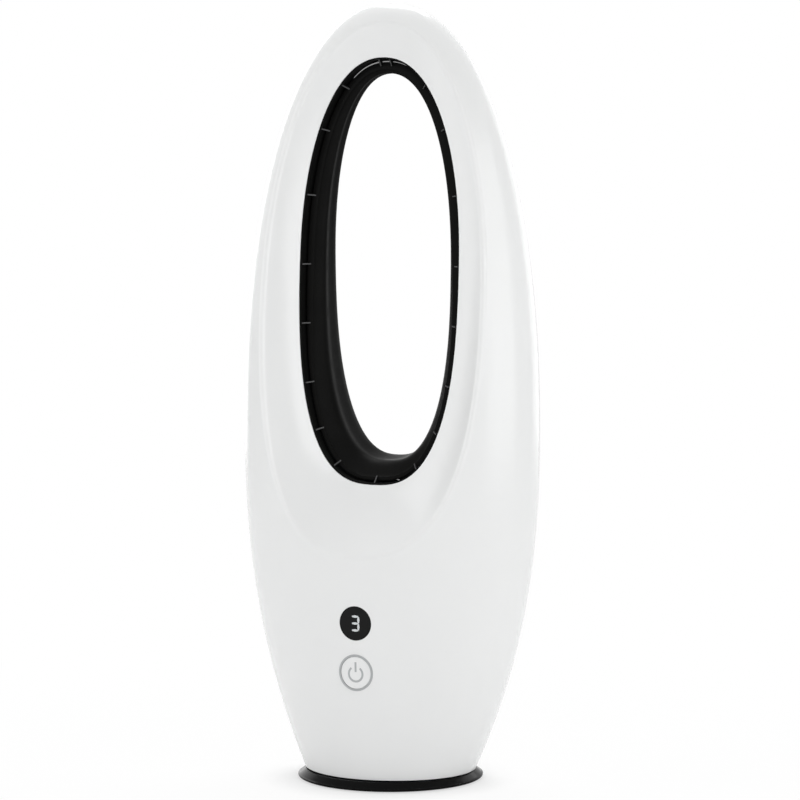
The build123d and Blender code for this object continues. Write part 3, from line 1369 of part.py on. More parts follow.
def board_connectors():
    """The sockets that the four cables plug into."""
    front_plug = box_between(
        (CONTROL_PLUG_X - PLUG_SIZE / 2, MAIN_BOARD_Y - PLUG_SIZE, CONTROL_PLUG_Z - PLUG_SIZE),
        (CONTROL_PLUG_X + PLUG_SIZE / 2, MAIN_BOARD_Y, CONTROL_PLUG_Z),
    )
    low_y = CONTROL_BOARD_Y + BOARD_THICKNESS
    upper_plug = box_between(
        (UPPER_PLUG_X - PLUG_SIZE / 2, low_y, UPPER_PLUG_Z),
        (UPPER_PLUG_X + PLUG_SIZE / 2, low_y + PLUG_SIZE, UPPER_PLUG_Z + PLUG_SIZE),
    )
    return [
        board_block(MOTOR_PLUG_X - PLUG_SIZE / 2, MOTOR_PLUG_Z, PLUG_SIZE, PLUG_SIZE, PLUG_SIZE),
        board_block(STEPPER_PLUG_X - PLUG_SIZE / 2, STEPPER_PLUG_Z, PLUG_SIZE, PLUG_SIZE, PLUG_SIZE),
        board_block(INLET_PLUG_X, INLET_PLUG_Z, PLUG_SIZE, PLUG_SIZE, PLUG_SIZE),
        front_plug,
        upper_plug,
    ]


def board_capacitors():
    """Two round capacitors lying off the main board."""
    y = MAIN_BOARD_Y + BOARD_THICKNESS
    return [along_y(CAPACITOR_RADIUS, y, y + CAPACITOR_LENGTH, x, z) for x, z in CAPACITOR_PLACES]


def board_heatsink():
    """The finned cooler of the motor driver."""
    sink = board_block(HEATSINK_X, HEATSINK_Z, HEATSINK_SIZE, HEATSINK_DEPTH, HEATSINK_SIZE)
    low_y = MAIN_BOARD_Y + BOARD_THICKNESS + HEATSINK_PLATE
    for step in range(HEATSINK_GAPS):
        x = HEATSINK_X + (step - (HEATSINK_GAPS - 1) / 2) * HEATSINK_PITCH - HEATSINK_GAP / 2
        low = (x, low_y, HEATSINK_Z - HEATSINK_SIZE)
        sink -= box_between(low, (x + HEATSINK_GAP, low_y + HEATSINK_DEPTH, HEATSINK_Z + HEATSINK_SIZE))
    return sink


def buzzer():
    """The round sounder."""
    y = MAIN_BOARD_Y + BOARD_THICKNESS
    top_y = y + BUZZER_HEIGHT
    hole = along_y(BUZZER_HOLE_RADIUS, top_y - BUZZER_HOLE_DEPTH, top_y + 1, BUZZER_X, BUZZER_Z)
    return along_y(BUZZER_RADIUS, y, top_y, BUZZER_X, BUZZER_Z) - hole


def power_inlet():
    """The low-voltage socket in the back of the foot."""
    face_y = inlet_face_y()
    inner_y = face_y + INLET_FLANGE - INLET_LENGTH
    body = along_y(INLET_RADIUS, inner_y, face_y, 0, INLET_Z)
    body += along_y(INLET_FLANGE_RADIUS, face_y, face_y + INLET_FLANGE, 0, INLET_Z)
    socket_y = inner_y + 2.5
    body -= along_y(INLET_SOCKET_RADIUS, socket_y, face_y + INLET_FLANGE + 1, 0, INLET_Z)
    return body + along_y(INLET_PIN_RADIUS, socket_y - 1, face_y, 0, INLET_Z)


def inlet_face_y():
    """Where the socket's flange lies on the back of the foot."""
    return half_depth(INLET_Z + INLET_FLANGE_RADIUS) + FIT


def inlet_nut():
    """The nut inside the wall."""
    high_y = surface_y(INLET_NUT_RADIUS, INLET_Z - INLET_NUT_RADIUS, SHELL_WALL) - RUNNING_GAP
    nut = RegularPolygon(INLET_NUT_RADIUS, 6)
    place = Plane(origin=(0, high_y - INLET_NUT, INLET_Z), x_dir=(1, 0, 0), z_dir=(0, 1, 0))
    blank = extrude(place * nut, amount=INLET_NUT)
    return blank - along_y(INLET_RADIUS + RUNNING_GAP, 0, 2 * BODY_HALF_DEPTH, 0, INLET_Z)


def shell_screws():
    """Screws from behind that draw the shells together."""
    screws = []
    for x, z in column_places():
        joint_y = PARTING_Y - PARTING_LEAN * z
        seat_y = screw_head_y(x, z)
        head = along_y(SCREW_HEAD_RADIUS, seat_y, seat_y + SCREW_HEAD_HEIGHT, x, z)
        head -= along_y(SCREW_RADIUS * 0.7, seat_y + 0.6, seat_y + 5, x, z)
        screws.append(head + along_y(SCREW_SHANK, joint_y - COLUMN_SCREW_REACH, seat_y + 0.5, x, z))
    return screws


# ---- Cables inside the body ----
def cable(name, radius, points):
    """A tube along straight runs joined by arcs, each as large as its runs allow."""
    points = [Vector(*point) for point in points]
    bends = []
    for before, here, after in zip(points, points[1:], points[2:]):
        turn = math.radians((here - before).get_angle(after - here))
        shorter = min((here - before).length, (after - here).length)
        bends.append(0.45 * shorter / math.tan(turn / 2))
    path = FilletPolyline(*points, radius=bends)
    start = Plane(origin=points[0], z_dir=points[1] - points[0])
    tube = sweep(start * Circle(radius), path=path)
    expected = math.pi * radius**2 * path.length
    share = round(tube.volume / expected, 3)
    print(name, "radii", [round(bend, 1) for bend in bends], "volume share", share)
    return tube


def motor_cable():
    """From the motor's gland, out through the duct's grommet and down to the main board."""
    end_y = MAIN_BOARD_Y + BOARD_THICKNESS + PLUG_SIZE / 2
    points = [
        (GLAND_X, FAN_Y, CABLE_HOLE_Z),
        (DUCT_RADIUS + 20, FAN_Y, CABLE_HOLE_Z),
        (DUCT_RADIUS + 22, FAN_Y - 4, CABLE_HOLE_Z - 41),
        (DUCT_RADIUS + 16, FAN_Y - 22, CABLE_HOLE_Z - 75),
        (DUCT_RADIUS, end_y, MOTOR_PLUG_Z),
        (MOTOR_PLUG_X, end_y, MOTOR_PLUG_Z),
    ]
    return cable("motor_cable", CABLE_RADIUS, points)


def stepper_cable():
    """From the side of the stepper to the main board."""
    end_y = MAIN_BOARD_Y + BOARD_THICKNESS + PLUG_SIZE / 2
    points = [
        (STEPPER_X, -STEPPER_RADIUS, STEPPER_PLUG_Z),
        (STEPPER_X, end_y, STEPPER_PLUG_Z),
        (STEPPER_PLUG_X, end_y, STEPPER_PLUG_Z),
    ]
    return cable("stepper_cable", WIRE_RADIUS, points)


def inlet_cable():
    """From the power inlet, round the spindle, to the main board."""
    start_y = inlet_face_y() + INLET_FLANGE - INLET_LENGTH
    end_y = MAIN_BOARD_Y + BOARD_THICKNESS + PLUG_SIZE
    points = [
        (0, start_y, INLET_Z),
        (0, start_y - 12, INLET_Z),
        (INLET_PLUG_X + 2, 22, INLET_PLUG_Z - 1),
        (INLET_PLUG_X - 15, -2, INLET_PLUG_Z),
        (INLET_PLUG_X, -26, INLET_PLUG_Z),
        (INLET_PLUG_X, end_y, INLET_PLUG_Z),
    ]
    return cable("inlet_cable", WIRE_RADIUS, points)


def control_cable():
    """From the main board up to the control board."""
    low_y = MAIN_BOARD_Y - PLUG_SIZE / 2
    high_y = CONTROL_BOARD_Y + BOARD_THICKNESS + PLUG_SIZE / 2
    points = [
        (CONTROL_PLUG_X, low_y, CONTROL_PLUG_Z),
        (CONTROL_PLUG_X, low_y, CONTROL_PLUG_Z + 9),
        (UPPER_PLUG_X, high_y, UPPER_PLUG_Z - 9),
        (UPPER_PLUG_X, high_y, UPPER_PLUG_Z),
    ]
    return cable("control_cable", WIRE_RADIUS, points)


def write(name, piece):
    """Write one named piece, or a group of like pieces, to its own file."""
    solids = []
    for item in piece if isinstance(piece, list) else [piece]:
        solids.extend(item.solids())
    export_step(solids[0] if len(solids) == 1 else Compound(children=solids), f"parts/{name}.step")


def main():
    """Build every piece and write it."""
    os.makedirs("parts", exist_ok=True)
    body = shell_body()
    write("front_shell", front_shell(body))
    write("rear_shell", rear_shell(body))
    pieces = [
        nozzle_liner,
        intake_grille,
        dust_filter,
        base_plate,
        base_cover,
        base_weight,
        base_feet,
        base_screws,
        spindle,
        glide_ring,
        sun_gear,
        retaining_ring,
        chassis_floor,
        floor_screws,
        pivot_bushing,
        stepper_motor,
        stepper_screws,
        stepper_shaft,
        pinion_gear,
        fan_duct,
        cable_grommet,
        duct_gasket,
        air_guide_plate,
        plate_screws,
        impeller,
        impeller_nut,
        motor_shaft,
        rotor_magnet,
        motor_housing,
        motor_end_cap,
        motor_bearings,
        stator_core,
        stator_windings,
        motor_dampers,
        diffuser,
        display_lens,
        digit_display,
        digit_segments,
        button_ring,
        power_button,
        switch_plunger,
        button_switch,
        remote_receiver,
        control_board,
        control_screws,
        main_board,
        board_connectors,
        board_capacitors,
        board_heatsink,
        buzzer,
        power_inlet,
        inlet_nut,
        shell_screws,
        motor_cable,
        stepper_cable,
        inlet_cable,
        control_cable,
    ]
    for piece in pieces:
        write(piece.__name__, piece())


main()
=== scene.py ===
"""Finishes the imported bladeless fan: fine pieces, materials, and a small studio round it.

It is laid out as a Blender add-on and run as a script. Metres. +Z is up and -Y is the front.
"""

import math
from typing import NamedTuple

import bmesh
import bpy
from bpy.props import FloatProperty, FloatVectorProperty, PointerProperty
from mathutils import Matrix, Vector
from mathutils.bvhtree import BVHTree


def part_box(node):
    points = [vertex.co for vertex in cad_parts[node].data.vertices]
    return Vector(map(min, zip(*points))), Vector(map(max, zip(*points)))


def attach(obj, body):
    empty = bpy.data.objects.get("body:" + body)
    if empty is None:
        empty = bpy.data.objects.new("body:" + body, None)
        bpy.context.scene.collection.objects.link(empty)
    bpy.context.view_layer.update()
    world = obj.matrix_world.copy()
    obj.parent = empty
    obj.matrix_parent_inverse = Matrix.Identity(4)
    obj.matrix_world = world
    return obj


bl_info = {
    "name": "Bladeless Fan Finishes",
    "version": (1, 0, 0),
    "blender": (4, 5, 0),
    "location": "View3D > Sidebar > Fan",
    "description": "Fine pieces, materials and a studio for a bladeless tower fan",
    "category": "Object",
}

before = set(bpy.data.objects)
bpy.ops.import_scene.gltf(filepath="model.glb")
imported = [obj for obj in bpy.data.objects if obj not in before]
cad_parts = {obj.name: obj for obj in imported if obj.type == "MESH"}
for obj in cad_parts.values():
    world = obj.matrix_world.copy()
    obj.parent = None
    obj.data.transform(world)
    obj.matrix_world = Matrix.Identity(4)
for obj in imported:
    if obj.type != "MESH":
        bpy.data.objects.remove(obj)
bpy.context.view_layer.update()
MM = 0.001
QUARTER = math.radians(90)  # of a turn


# ---- Sizes and colours that a user would change ----
def length_property(name, description, default):
    """A length in metres."""
    return FloatProperty(
        name=name, description=description, default=default, min=0.0, precision=5, unit="LENGTH"
    )


def angle_property(name, description, degrees):
    """An angle, whose default is given in degrees."""
    return FloatProperty(
        name=name, description=description, default=math.radians(degrees), subtype="ANGLE"
    )


def colour_property(name, description, default):
    """A linear colour."""
    return FloatVectorProperty(
        name=name,
        description=description,
        default=default,
        size=3,
        min=0.0,
        max=1.0,
        subtype="COLOR",
    )


class FanSizes(bpy.types.PropertyGroup):
    """Sizes of the fine pieces."""

    digit_height: length_property("Digit height", "Height of the lit digit", 12.4 * MM)
    digit_width: length_property("Digit width", "Width of the lit digit", 7.3 * MM)
    digit_stroke: length_property("Digit stroke", "Width of one bar of the digit", 1.75 * MM)
    icon_radius: length_property("Icon radius", "Radius of the power sign's arc", 5.7 * MM)
    icon_stroke: length_property("Icon stroke", "Line width of the power sign", 1.6 * MM)
    icon_bar: length_property("Icon bar", "Length of the power sign's bar", 7.6 * MM)
    icon_gap: angle_property("Icon gap", "Opening at the top of the power sign's arc", 74)
    print_thickness: length_property("Print", "Thickness of printed signs", 0.06 * MM)
    # width of the painted highlight on each rib's front edge
    rib_highlight_width: length_property("Rib edge", "Width of a rib's dull front edge", 1.0 * MM)


class FanColours(bpy.types.PropertyGroup):
    """Colours of the finishes."""

    white: colour_property("White", "Polished shells", (0.80, 0.803, 0.803))
    black: colour_property("Black", "Polished base", (0.004, 0.004, 0.004))
    charcoal: colour_property("Charcoal", "Liner round the opening", (0.0075, 0.0075, 0.0073))
    grey: colour_property("Grey", "Moulded inner pieces", (0.22, 0.23, 0.24))
    # painted highlight: a grey lighter than the liner, laid on the ribs' front edges where light
    # catches them
    rib: colour_property("Rib", "Front edges of the slot's ribs", (0.036, 0.036, 0.037))
    silver: colour_property("Silver", "Ring round the button", (0.45, 0.46, 0.47))
    sign: colour_property("Sign", "Printed power sign", (0.42, 0.43, 0.44))
    light: colour_property("Light", "Lit digit", (0.46, 0.475, 0.485))


class FanStudio(bpy.types.PropertyGroup):
    """Camera and floor."""

    azimuth: angle_property("Azimuth", "Turn of the camera round the fan", 24.0)
    elevation: angle_property("Elevation", "Angle of the camera above its target", 4.71)
    distance: length_property("Distance", "From the camera to its target", 2.6)
    lens: FloatProperty(
        name="Lens", description="Focal length", default=151.12, subtype="DISTANCE_CAMERA"
    )
    target: FloatVectorProperty(
        name="Target",
        description="What the camera looks at",
        default=(0.00799, 0.0, 0.2948),
        size=3,
        subtype="TRANSLATION",
        unit="LENGTH",
    )
    floor_reach: length_property("Floor", "Half the width of the floor", 40.0)


# ---- Colours that stay as they are ----
WHITE = (1.0, 1.0, 1.0)
FOAM_GREY = (0.06, 0.06, 0.065)
RUBBER_BLACK = (0.02, 0.02, 0.021)
DAMPER_BLACK = (0.022, 0.022, 0.023)
SHEATH_BLACK = (0.02, 0.02, 0.021)
WEIGHT_ZINC = (0.42, 0.42, 0.43)
STEPPER_ZINC = (0.5, 0.51, 0.52)
CAN_ZINC = (0.52, 0.53, 0.54)
SCREW_STEEL = (0.16, 0.16, 0.17)
GROUND_STEEL = (0.56, 0.56, 0.57)
CORE_STEEL = (0.38, 0.38, 0.39)
ALUMINIUM = (0.68, 0.68, 0.7)
COPPER = (0.72, 0.27, 0.12)
FERRITE = (0.05, 0.05, 0.055)
ACETAL = (0.76, 0.74, 0.66)
PLUG_WHITE = (0.7, 0.69, 0.64)
SOLDER_MASK = (0.01, 0.09, 0.035)
WINDOW_BLACK = (0.012, 0.012, 0.012)
MODULE_BLACK = (0.02, 0.02, 0.02)
# painted light: a grey that glows in the slot's crown, where no lamp is
CROWN_PAINTED_LIGHT = (0.16, 0.16, 0.16)
PAPER_GREY = (0.8, 0.8, 0.8)


def scaled(colour, factor):
    """A colour made lighter or darker."""
    return tuple(min(1.0, part * factor) for part in colour)


def opaque(colour):
    """A colour with the alpha that Blender's sockets ask for."""
    return (*colour, 1.0)


# ---- Shader maths as Python expressions ----
# A Mix node keeps a colour's sockets after the ones for numbers, under the same names.
MIX_FIRST = 6
MIX_SECOND = 7
MIX_COLOUR = 2


class Value:
    """A number, colour or vector in a node tree. Sums with it add the Math nodes they need."""

    def __init__(self, nodes, socket):
        self.nodes = nodes
        self.socket = socket

    def _math(self, operation, *terms):
        return self.nodes.node("ShaderNodeMath", {"operation": operation}, dict(enumerate(terms)))

    def __add__(self, other):
        return self._math("ADD", self, other)

    def __radd__(self, other):
        return self._math("ADD", other, self)

    def __sub__(self, other):
        return self._math("SUBTRACT", self, other)

    def __rsub__(self, other):
        return self._math("SUBTRACT", other, self)

    def __mul__(self, other):
        return self._math("MULTIPLY", self, other)

    def __rmul__(self, other):
        return self._math("MULTIPLY", other, self)

    def __abs__(self):
        return self._math("ABSOLUTE", self)

    def root(self):
        """Its square root."""
        return self._math("SQRT", self)

    def at_least(self, other):
        """The larger of the two."""
        return self._math("MAXIMUM", self, other)

    def above(self, edge, soft):
        """0 below the edge and 1 above it, with a step that reaches soft to either side."""
        limits = {"Value": self, "From Min": edge - soft, "From Max": edge + soft}
        return self.nodes.node("ShaderNodeMapRange", {"interpolation_type": "SMOOTHSTEP"}, limits)


class Nodes:
    """The node tree of a material or of the world, filled step by step."""

    def __init__(self, tree, output):
        self.tree = tree
        self.tree.nodes.clear()
        self.output = self.tree.nodes.new(output)

    def node(self, kind, settings=None, inputs=None, output=0):
        """Adds a node, sets it, then fills its sockets with values or links. Gives one output."""
        made = self.tree.nodes.new(kind)
        for name, value in (settings or {}).items():
            setattr(made, name, value)
        for key, value in (inputs or {}).items():
            self.fill(made.inputs[key], value)
        return Value(self, made.outputs[output])

    def fill(self, socket, value):
        """A link for a Value, or else the socket's own number."""
        if isinstance(value, Value):
            self.tree.links.new(value.socket, socket)
        else:
            socket.default_value = value

    def show(self, shader):
        """Gives a shader to the output."""
        self.fill(self.output.inputs["Surface"], shader)

    def ray(self, kind):
        """1 on rays of a kind, such as Camera or Glossy, and 0 on the others."""
        return self.node("ShaderNodeLightPath", output=f"Is {kind} Ray")


class Finish(Nodes):
    """A material with a Principled shader, put together step by step."""

    def __init__(self, name, colour, roughness=0.5, metallic=0.0, shine=0.5):
        self.material = bpy.data.materials.new(name)
        self.material.use_nodes = True
        super().__init__(self.material.node_tree, "ShaderNodeOutputMaterial")
        self.principled = self.tree.nodes.new("ShaderNodeBsdfPrincipled")
        self.shader = Value(self, self.principled.outputs[0])
        self.show(self.shader)
        self.colour = tuple(colour)
        self.material.diffuse_color = opaque(colour)
        self.set("Base Color", opaque(colour))
        self.set("Roughness", roughness)
        self.set("Metallic", metallic)
        self.set("Specular IOR Level", shine)

    def set(self, name, value):
        """Sets or links one of the shader's sockets."""
        self.fill(self.principled.inputs[name], value)

    def place(self, stretch=(1, 1, 1)):
        """The point on the object, with its axes stretched."""
        here = self.node("ShaderNodeTexCoord", output="Object")
        if stretch == (1, 1, 1):
            return here
        return self.node("ShaderNodeMapping", {}, {"Vector": here, "Scale": stretch})

    def axis(self, name):
        """The point's X, Y or Z."""
        return self.node("ShaderNodeSeparateXYZ", {}, {0: self.place()}, name)

    def noise(self, size, detail=2.0, stretch=(1, 1, 1)):
        """Soft noise whose blobs have about the given size in metres."""
        inputs = {"Vector": self.place(stretch), "Scale": 1.0 / size, "Detail": detail}
        return self.node("ShaderNodeTexNoise", {}, inputs)

    def cells(self, size):
        """Distance to the nearest of points scattered about that far apart."""
        inputs = {"Vector": self.place(), "Scale": 1.0 / size}
        return self.node("ShaderNodeTexVoronoi", {"feature": "F1"}, inputs, "Distance")

    def shade(self, share, start, end):
        """Base colour that goes from one multiple of the finish's colour to another."""
        inputs = {
            0: share,
            MIX_FIRST: opaque(scaled(self.colour, start)),
            MIX_SECOND: opaque(scaled(self.colour, end)),
        }
        mixed = self.node("ShaderNodeMix", {"data_type": "RGBA"}, inputs, MIX_COLOUR)
        self.set("Base Color", mixed)

    def bump(self, height, depth):
        """Relief on the surface, depth metres from its lowest to its highest."""
        self.set("Normal", self.node("ShaderNodeBump", {}, {"Height": height, "Distance": depth}))


def dress(finish, *nodes):
    """Gives a finish to CAD nodes."""
    for name in nodes:
        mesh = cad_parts[name].data
        mesh.materials.clear()
        mesh.materials.append(finish.material)


# ---- Finishes ----
def polished_white(name, colour):
    """Moulded white plastic with a high polish, a trace of flow marks and orange peel."""
    finish = Finish(name, colour)
    finish.shade(finish.noise(90 * MM, detail=3.0, stretch=(1, 1, 0.35)), 0.996, 1.003)
    finish.set("Roughness", 0.2 + finish.noise(26 * MM, detail=1.0) * 0.03)
    finish.bump(finish.noise(1.2 * MM, detail=1.0), depth=0.002 * MM)
    return finish


def satin_white(name, colour):
    """White plastic with a fine spark-eroded texture."""
    finish = Finish(name, colour)
    finish.shade(finish.noise(30 * MM), 0.97, 1.01)
    finish.set("Roughness", 0.38 + finish.noise(8 * MM) * 0.1)
    finish.bump(finish.noise(0.5 * MM, detail=3.0), depth=0.03 * MM)
    return finish


def polished_black(name, colour):
    """Piano-black plastic with a little haze and hair-fine swirl marks."""
    finish = Finish(name, colour, shine=0.03)
    finish.shade(finish.noise(20 * MM), 1.0, 1.5)
    haze = finish.noise(14 * MM, detail=4.0)
    swirl = finish.noise(1.2 * MM, detail=6.0, stretch=(1, 1, 0.2))
    finish.set("Roughness", 0.09 + haze * 0.08 + swirl * 0.03)
    finish.bump(finish.noise(3 * MM), depth=0.012 * MM)
    return finish


def satin_black(name, colour, roughness=0.34, shine=0.5):
    """Charcoal plastic with a fine even grain."""
    finish = Finish(name, colour, shine=shine)
    finish.shade(finish.noise(18 * MM, detail=3.0), 0.85, 1.25)
    finish.set("Roughness", roughness - 0.05 + finish.noise(6 * MM, detail=3.0) * 0.1)
    finish.bump(finish.noise(0.35 * MM), depth=0.015 * MM)
    return finish


def moulded(name, colour, roughness=0.45):
    """Plain moulded plastic with flow marks and a dull skin."""
    finish = Finish(name, colour)
    finish.shade(finish.noise(25 * MM, detail=3.0), 0.92, 1.05)
    finish.set("Roughness", roughness - 0.05 + finish.noise(9 * MM, detail=3.0) * 0.12)
    finish.bump(finish.noise(0.7 * MM, detail=3.0), depth=0.02 * MM)
    return finish


def rubber(name, colour):
    """Matt rubber, dusty and finely pitted."""
    finish = Finish(name, colour)
    dust = finish.noise(4 * MM, detail=5.0)
    finish.shade(dust, 0.8, 1.6)
    finish.set("Roughness", 0.62 + dust * 0.2)
    finish.bump(finish.cells(0.5 * MM), depth=0.03 * MM)
    return finish


def turned_metal(name, colour, roughness=0.28, fineness=12):
    """Metal with marks of the tool that run round its Z axis, packed by the fineness."""
    finish = Finish(name, colour, metallic=1.0)
    marks = finish.noise(1.5 * MM, detail=4.0, stretch=(1, 1, fineness))
    finish.shade(marks, 0.86, 1.08)
    finish.set("Roughness", roughness - 0.06 + marks * 0.14)
    finish.bump(marks, depth=0.01 * MM)
    return finish


def plated_sheet(name, colour):
    """Zinc-plated sheet with a faint spangle."""
    finish = Finish(name, colour, metallic=1.0)
    spangle = finish.cells(4 * MM)
    finish.shade(spangle, 0.85, 1.1)
    finish.set("Roughness", 0.32 + spangle * 0.2)
    finish.bump(finish.noise(2 * MM, detail=4.0), depth=0.01 * MM)
    return finish


def foam(name, colour):
    """Open-cell foam: pores and the struts between them."""
    finish = Finish(name, colour, roughness=0.9)
    strut = finish.cells(1.1 * MM).above(0.45, soft=0.2)
    finish.shade(strut, 0.35, 1.4)
    finish.bump(strut, depth=0.4 * MM)
    return finish


def circuit(name, colour):
    """Solder mask over copper tracks, with tinned pads."""
    finish = Finish(name, colour)
    tracks = abs(finish.noise(7 * MM, detail=0.0) - 0.5).above(0.03, soft=0.008)
    finish.shade(tracks, 1.8, 1.0)
    pads = finish.cells(5 * MM).above(0.16, soft=0.02)
    finish.set("Roughness", 0.22 + pads * 0.12)
    finish.set("Metallic", (1 - pads) * 0.9)
    finish.bump(tracks, depth=0.04 * MM)
    return finish


WIRE_PITCH = 0.8882 * MM  # from one turn of the wire to the next
WAVE_RADIANS = 20  # how far a Wave texture's wave runs over one unit of scaled distance


def coil_wire(name, colour):
    """Enamelled copper wire, wound side by side."""
    finish = Finish(name, colour, metallic=1.0)
    inputs = {"Vector": finish.place(), "Scale": math.tau / (WAVE_RADIANS * WIRE_PITCH)}
    settings = {"wave_type": "RINGS", "rings_direction": "Z"}
    turns = finish.node("ShaderNodeTexWave", settings, inputs, "Fac")
    finish.shade(turns, 0.4, 1.1)
    finish.set("Roughness", 0.25 + finish.noise(2 * MM) * 0.1)
    finish.bump(turns, depth=0.15 * MM)
    return finish


def glow(name, colour, strength=0.0):
    """A pale plastic that gives off light: a lit light guide, and also the painted glow in the
    slot's crown.
    """
    finish = Finish(name, colour)
    cloud = finish.noise(3 * MM)
    finish.shade(cloud, 0.96, 1.0)
    finish.set("Emission Color", opaque(colour))
    finish.set("Emission Strength", strength)
    finish.set("Roughness", 0.3 + cloud * 0.1)
    return finish


# ---- Mesh helpers ----
SMOOTH_ANGLE = math.radians(35)  # edges that turn more than this stay sharp
FAR_FRONT_Y = -1.0  # well before the fan, where the rays that look for its front start


def finished_object(name, bm, finish, body):
    """Turns a bmesh, already in place, into a smooth-shaded object that rides on a body."""
    mesh = bpy.data.meshes.new(name)
    bm.to_mesh(mesh)
    bm.free()
    made = bpy.data.objects.new(name, mesh)
    bpy.context.scene.collection.objects.link(made)
    mesh.shade_smooth()
    mesh.set_sharp_from_angle(angle=SMOOTH_ANGLE)
    mesh.materials.append(finish.material)
    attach(made, body)


def surface_tree(node):
    """A search tree over a CAD node's surface."""
    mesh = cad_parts[node].data
    corners = [vertex.co for vertex in mesh.vertices]
    faces = [tuple(face.vertices) for face in mesh.polygons]
    return BVHTree.FromPolygons(corners, faces)


def lay_on_front(bm, node, proud):
    """Moves each vertex along Y onto the front of a CAD node, standing proud by that much."""
    tree = surface_tree(node)
    for vertex in bm.verts:
        start = Vector((vertex.co.x, FAR_FRONT_Y, vertex.co.z))
        hit = tree.ray_cast(start, Vector((0, 1, 0)))[0]
        if hit is None:
            raise RuntimeError(f"a thin piece reaches past {node}")
        vertex.co.y = hit.y - proud


def unit_grid(bm, columns, rows):
    """A flat grid, one by one. Gives each vertex with how far across and up it is, from 0 to 1."""
    made = bmesh.ops.create_grid(bm, x_segments=columns, y_segments=rows, size=0.5)["verts"]
    return [(vertex, vertex.co.x + 0.5, vertex.co.y + 0.5) for vertex in made]


def thicken(bm, step):
    """Gives an open sheet a thickness: a second skin, one step away, and walls between them."""
    made = bmesh.ops.extrude_face_region(bm, geom=list(bm.faces), use_keep_orig=True)
    skin = [item for item in made["geom"] if isinstance(item, bmesh.types.BMVert)]
    bmesh.ops.translate(bm, verts=skin, vec=step)
    bmesh.ops.recalc_face_normals(bm, faces=bm.faces)


def tapered_bar(bm, long, stroke, turn, x, z):
    """A flat bar in the XZ plane, centred at (x, z), that narrows from its middle to its ends."""
    radius = stroke / math.sqrt(3)  # of a hexagon that is one stroke across its flats
    bar = bmesh.ops.create_circle(bm, cap_ends=True, radius=radius, segments=6)["verts"]
    reach = long / 2 - radius
    for side in (-1, 1):
        end = [vertex for vertex in bar if vertex.co.x * side > 0]
        bmesh.ops.translate(bm, verts=end, vec=(side * reach, 0, 0))
    stand = Matrix.Rotation(QUARTER, 4, "X")
    bmesh.ops.transform(bm, matrix=Matrix.Rotation(turn, 4, "Y") @ stand, verts=bar)
    bmesh.ops.translate(bm, verts=bar, vec=(x, 0, z))


# ---- The air slot, an oval that is blunter below its widest level than above it ----
SLOT_HALF_WIDTH = 67.05 * MM
SLOT_CENTRE_Z = 398.1 * MM  # its widest level
SLOT_RISE = 160.6 * MM  # from there to its top
SLOT_DROP = 166.7 * MM  # and to its bottom
SLOT_TOP_POWER = 2.19  # 2 is an ellipse, and more is blunter
SLOT_BOTTOM_POWER = 2.665
SLOT_MIDDLE = -3.5 * MM  # from the oval in to the middle of the slot
SLOT_FRONT_Y = -14.0 * MM  # the slot's mouth, at its crown

# ---- The ribs across the slot, of which each gets a lighter strip along its front edge, a painted highlight ----
RIB_SHARES_UP = (0.01, 0.35, 0.67, 0.88)  # their heights, as shares of the slot's rise
RIB_SHARES_DOWN = (0.27, 0.55, 0.77, 0.93)  # and as shares of its drop
TOP_RIB_SPACING = 9.0 * MM  # between the two ribs at the crown
RIB_INWARD = 3.2 * MM  # from the slot's middle to a strip's inner end
RIB_OUTWARD = 1.9 * MM  # and to its outer end
TANGENT_STEP = math.radians(1)  # to either side of a rib, to find which way the slot runs

# ---- A pale sheet on the liner's wall, inside the slot's crown, that glows as painted light ----
CROWN_TURN = math.radians(66)  # where it ends at the right, next to a rib
CROWN_START = 8.1 * MM  # from the slot's mouth back to its front edge
CROWN_DEPTH = 16.0 * MM  # from its front edge to its back edge
CROWN_PROUD = 0.12 * MM  # of the wall
CROWN_THICKNESS = 0.3 * MM
CROWN_PROBE_TURN = math.radians(75)  # where the wall is looked for, clear of every rib
CROWN_PROBE_START = -1.8 * MM  # margins, from the air in the slot
CROWN_PROBE_END = -18.0 * MM  # to well inside the liner


def slot_point(turn, margin):
    """A point in the XZ plane, a margin outside the oval, at a turn in radians from its right."""
    across = math.cos(turn)
    up = math.sin(turn)
    power = 2 / (SLOT_TOP_POWER if up >= 0 else SLOT_BOTTOM_POWER)
    height = (SLOT_RISE if up >= 0 else SLOT_DROP) + margin
    x = math.copysign((SLOT_HALF_WIDTH + margin) * abs(across) ** power, across)
    z = SLOT_CENTRE_Z + math.copysign(height * abs(up) ** power, up)
    return Vector((x, 0, z))


def rib_places():
    """Each rib's middle and its way out across the slot."""
    ups = [math.asin(share ** (SLOT_TOP_POWER / 2)) for share in RIB_SHARES_UP]
    downs = [-math.asin(share ** (SLOT_BOTTOM_POWER / 2)) for share in RIB_SHARES_DOWN]
    turns = [-QUARTER]
    for turn in ups + downs:
        turns += [turn, math.pi - turn]
    places = []
    for turn in turns:
        after = slot_point(turn + TANGENT_STEP, SLOT_MIDDLE)
        along = after - slot_point(turn - TANGENT_STEP, SLOT_MIDDLE)
        outward = Vector((along.z, 0, -along.x)).normalized()
        places.append((slot_point(turn, SLOT_MIDDLE), outward))
    top = slot_point(QUARTER, SLOT_MIDDLE)
    for side in (-1, 1):
        middle = top + Vector((side * TOP_RIB_SPACING / 2, 0, 0))
        places.append((middle, Vector((0, 0, 1))))
    return places


def rib_highlight_strip(bm, middle, outward, width):
    """A narrow strip over one rib, in the XZ plane, that carries a painted highlight."""
    sideways = Vector((-outward.z, 0, outward.x))
    for vertex, along, over in unit_grid(bm, columns=8, rows=2):
        reach = along * (RIB_INWARD + RIB_OUTWARD) - RIB_INWARD
        vertex.co = middle + outward * reach + sideways * ((over - 0.5) * width)


